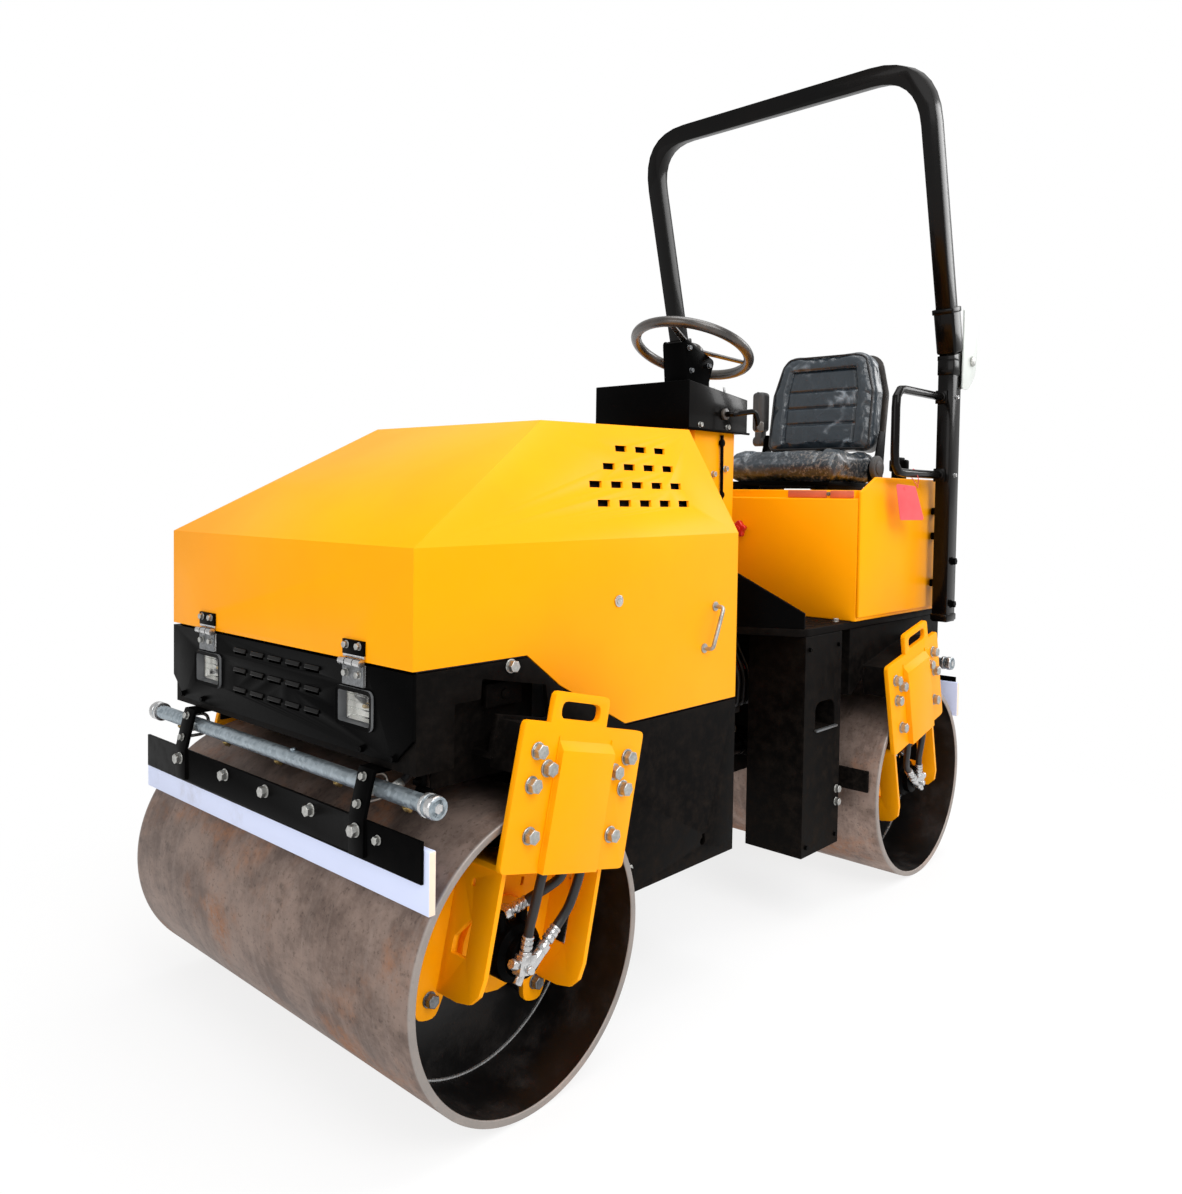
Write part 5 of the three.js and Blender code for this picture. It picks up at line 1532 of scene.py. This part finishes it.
def cushion_sewing(spot):
    """The cushion's sunk middle, its pleats and the seam down each side."""
    top = max(0.0, min(1.0, (spot.z + 0.030) / 0.02))
    inside = 1.0 / (1.0 + math.exp((abs(spot.y) - 0.125) / 0.004))
    pleats = max(groove(spot.x - a, 0.005) for a in (-0.090, -0.030, 0.030, 0.085))
    edge = groove(abs(spot.y) - 0.125, 0.006)
    push = -0.006 * inside - 0.005 * pleats * inside - 0.007 * edge + 0.0045 * creases(spot, 8.0)
    return Vector((0, 0, top * push))


def pad(name, model, cap, place, shape, node, fill):
    """A padded piece from a plain form: remeshed, puffed, sewn and covered in vinyl."""
    modify(model, "REMESH", mode="VOXEL", voxel_size=0.006)
    puff(model, cap)
    modify(model, "SUBSURF", levels=1, render_levels=1)
    sew(model, place, shape)
    model.name = model.data.name = name
    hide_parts(node)
    fit(model, VINYL, home[node])
    return model


def seat_back():
    """The backrest's pad, the shell behind it and the piping round its edge."""
    w, h = SEAT_HALF - 0.003, BACK_HIGH + 0.002
    outline = [(-w, -0.004, 0.035), (w, -0.004, 0.035), (w, h * 0.6, 0.07), (w - 0.038, h, 0.065),
               (0.038 - w, h, 0.065), (-w, h * 0.6, 0.07)]
    form = plate("form", outline, 0.064, BACK_AT @ Matrix.Translation((-0.034, 0, 0)) @ ACROSS, 0.014, 3)
    back = pad("seat_backrest_pad", form, PAD_CAP, BACK_AT, back_sewing, "seat_backrest", 0.75)
    shell_outline = [(-w + 0.004, 0.020, 0.035), (w - 0.004, 0.020, 0.035), (w - 0.004, h * 0.6, 0.07),
                     (w - 0.040, h - 0.004, 0.06), (0.040 - w, h - 0.004, 0.06), (-w + 0.004, h * 0.6, 0.07)]
    shell_at = BACK_AT @ Matrix.Translation((-0.052, 0, 0)) @ ACROSS
    fit(plate("seat_back_shell", shell_outline, 0.006, shell_at, 0.002), RIM, "rear_module")
    on_pad = []
    for spot in rounded_corners(outline, 8):
        goal = BACK_AT @ Vector((0.050, spot.x * 0.965, 0.012 + (spot.y - 0.012) * 0.975))
        _, place, normal, _ = back.closest_point_on_mesh(goal)
        on_pad.append(place + normal * 0.001)
    on_pad.append(on_pad[0])
    fit(bent("seat_back_piping", on_pad, 0.0032, 0.004, 2, 8), RUBBER, "rear_module")


def seat_cushion():
    middle = Matrix.Translation((-0.785, SEAT_Y, PAD_TOP))
    half = SEAT_HALF - 0.012
    profile = [(-0.148, -0.076, 0.012), (0.138, -0.076, 0.020), (0.148, -0.036, 0.020), (0.110, 0.006, 0.035),
               (-0.070, -0.004, 0.03), (-0.148, 0.006, 0.012)]
    form = plate("form", profile, 2 * half, middle @ Matrix.Translation((0, half, 0)) @ SIDEWAYS, 0.014, 3)
    pad("seat_cushion_pad", form, PAD_CAP, middle, cushion_sewing, "seat_cushion", 0.7)


def seat_fittings():
    """The recliner's plates and knob, and the slide's lever and stops."""
    for y, word in ((0.2895, "left"), (-0.1300, "right")):
        cheek = [(-0.930, 1.158, 0.01), (-0.838, 1.158, 0.01), (-0.834, 1.222, 0.02), (-0.880, 1.250, 0.02),
                 (-0.905, 1.330, 0.012), (-0.948, 1.330, 0.012)]
        place = Matrix.Translation((0, y + 0.002, 0)) @ SIDEWAYS
        fit(plate(f"recliner_plate_{word}", cheek, 0.004, place, 0.001), BLACK, "rear_module")
    knob = [rod("knob", (-0.858, inner, 1.212), (-0.858, outer, 1.212), *shape) for inner, outer, *shape in
            ((0.2915, 0.3000, 0.020, 32, 0.002), (0.2990, 0.3150, 0.038, 48, 0.005, 4),
             (0.3145, 0.3175, 0.022, 48, 0.0015))]
    fit(join("recline_knob", knob), DARK_GREY, "rear_module")
    route = [(-0.720, 0.215, 1.149), (-0.612, 0.215, 1.147), (-0.612, 0.035, 1.147), (-0.660, 0.035, 1.149)]
    fit(bent("slide_lever", route, 0.0045, 0.016, 6, 10), BLACK, "rear_module")
    blocks = [block("stop", (-0.650, 0.02, 1.1382), (-0.612, 0.062, 1.1425), 0.002),
              block("stop", (-0.668, 0.205, 1.1382), (-0.645, 0.245, 1.1530), 0.002),
              block("stop", (-0.668, -0.085, 1.1382), (-0.645, -0.045, 1.1530), 0.002)]
    fit(join("slide_stops", blocks), BLACK, "rear_module")


def armrest():
    """The folded armrest: a soft-edged pad on its arm, with a hinge boss and a seam round it."""
    (x0, y0, z0), (x1, y1, z1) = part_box("armrest")
    rest = block("pad", (x0 + 0.002, y0 + 0.002, z0 + 0.050), (x1 - 0.002, y1 - 0.002, z1 - 0.001), 0.014, 5)
    arm = block("arm", (x0 + 0.008, y0 + 0.012, z0 + 0.004), (x1 - 0.008, y1 - 0.012, z0 + 0.070), 0.006, 3)
    boss = rod("boss", (-0.920, y0 + 0.004, 1.310), (-0.920, y1 - 0.004, 1.310), 0.017, 32, 0.003)
    seam = block("seam", (x0 + 0.001, -0.1612, z0 + 0.060), (x1 - 0.001, -0.1588, z1 - 0.0005), 0.001)
    piece = join("armrest_piece", [rest, arm, boss, seam])
    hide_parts("armrest")
    return fit(piece, DARK_GREY, "armrest")


seat_back()
seat_cushion()
seat_fittings()
armrest()
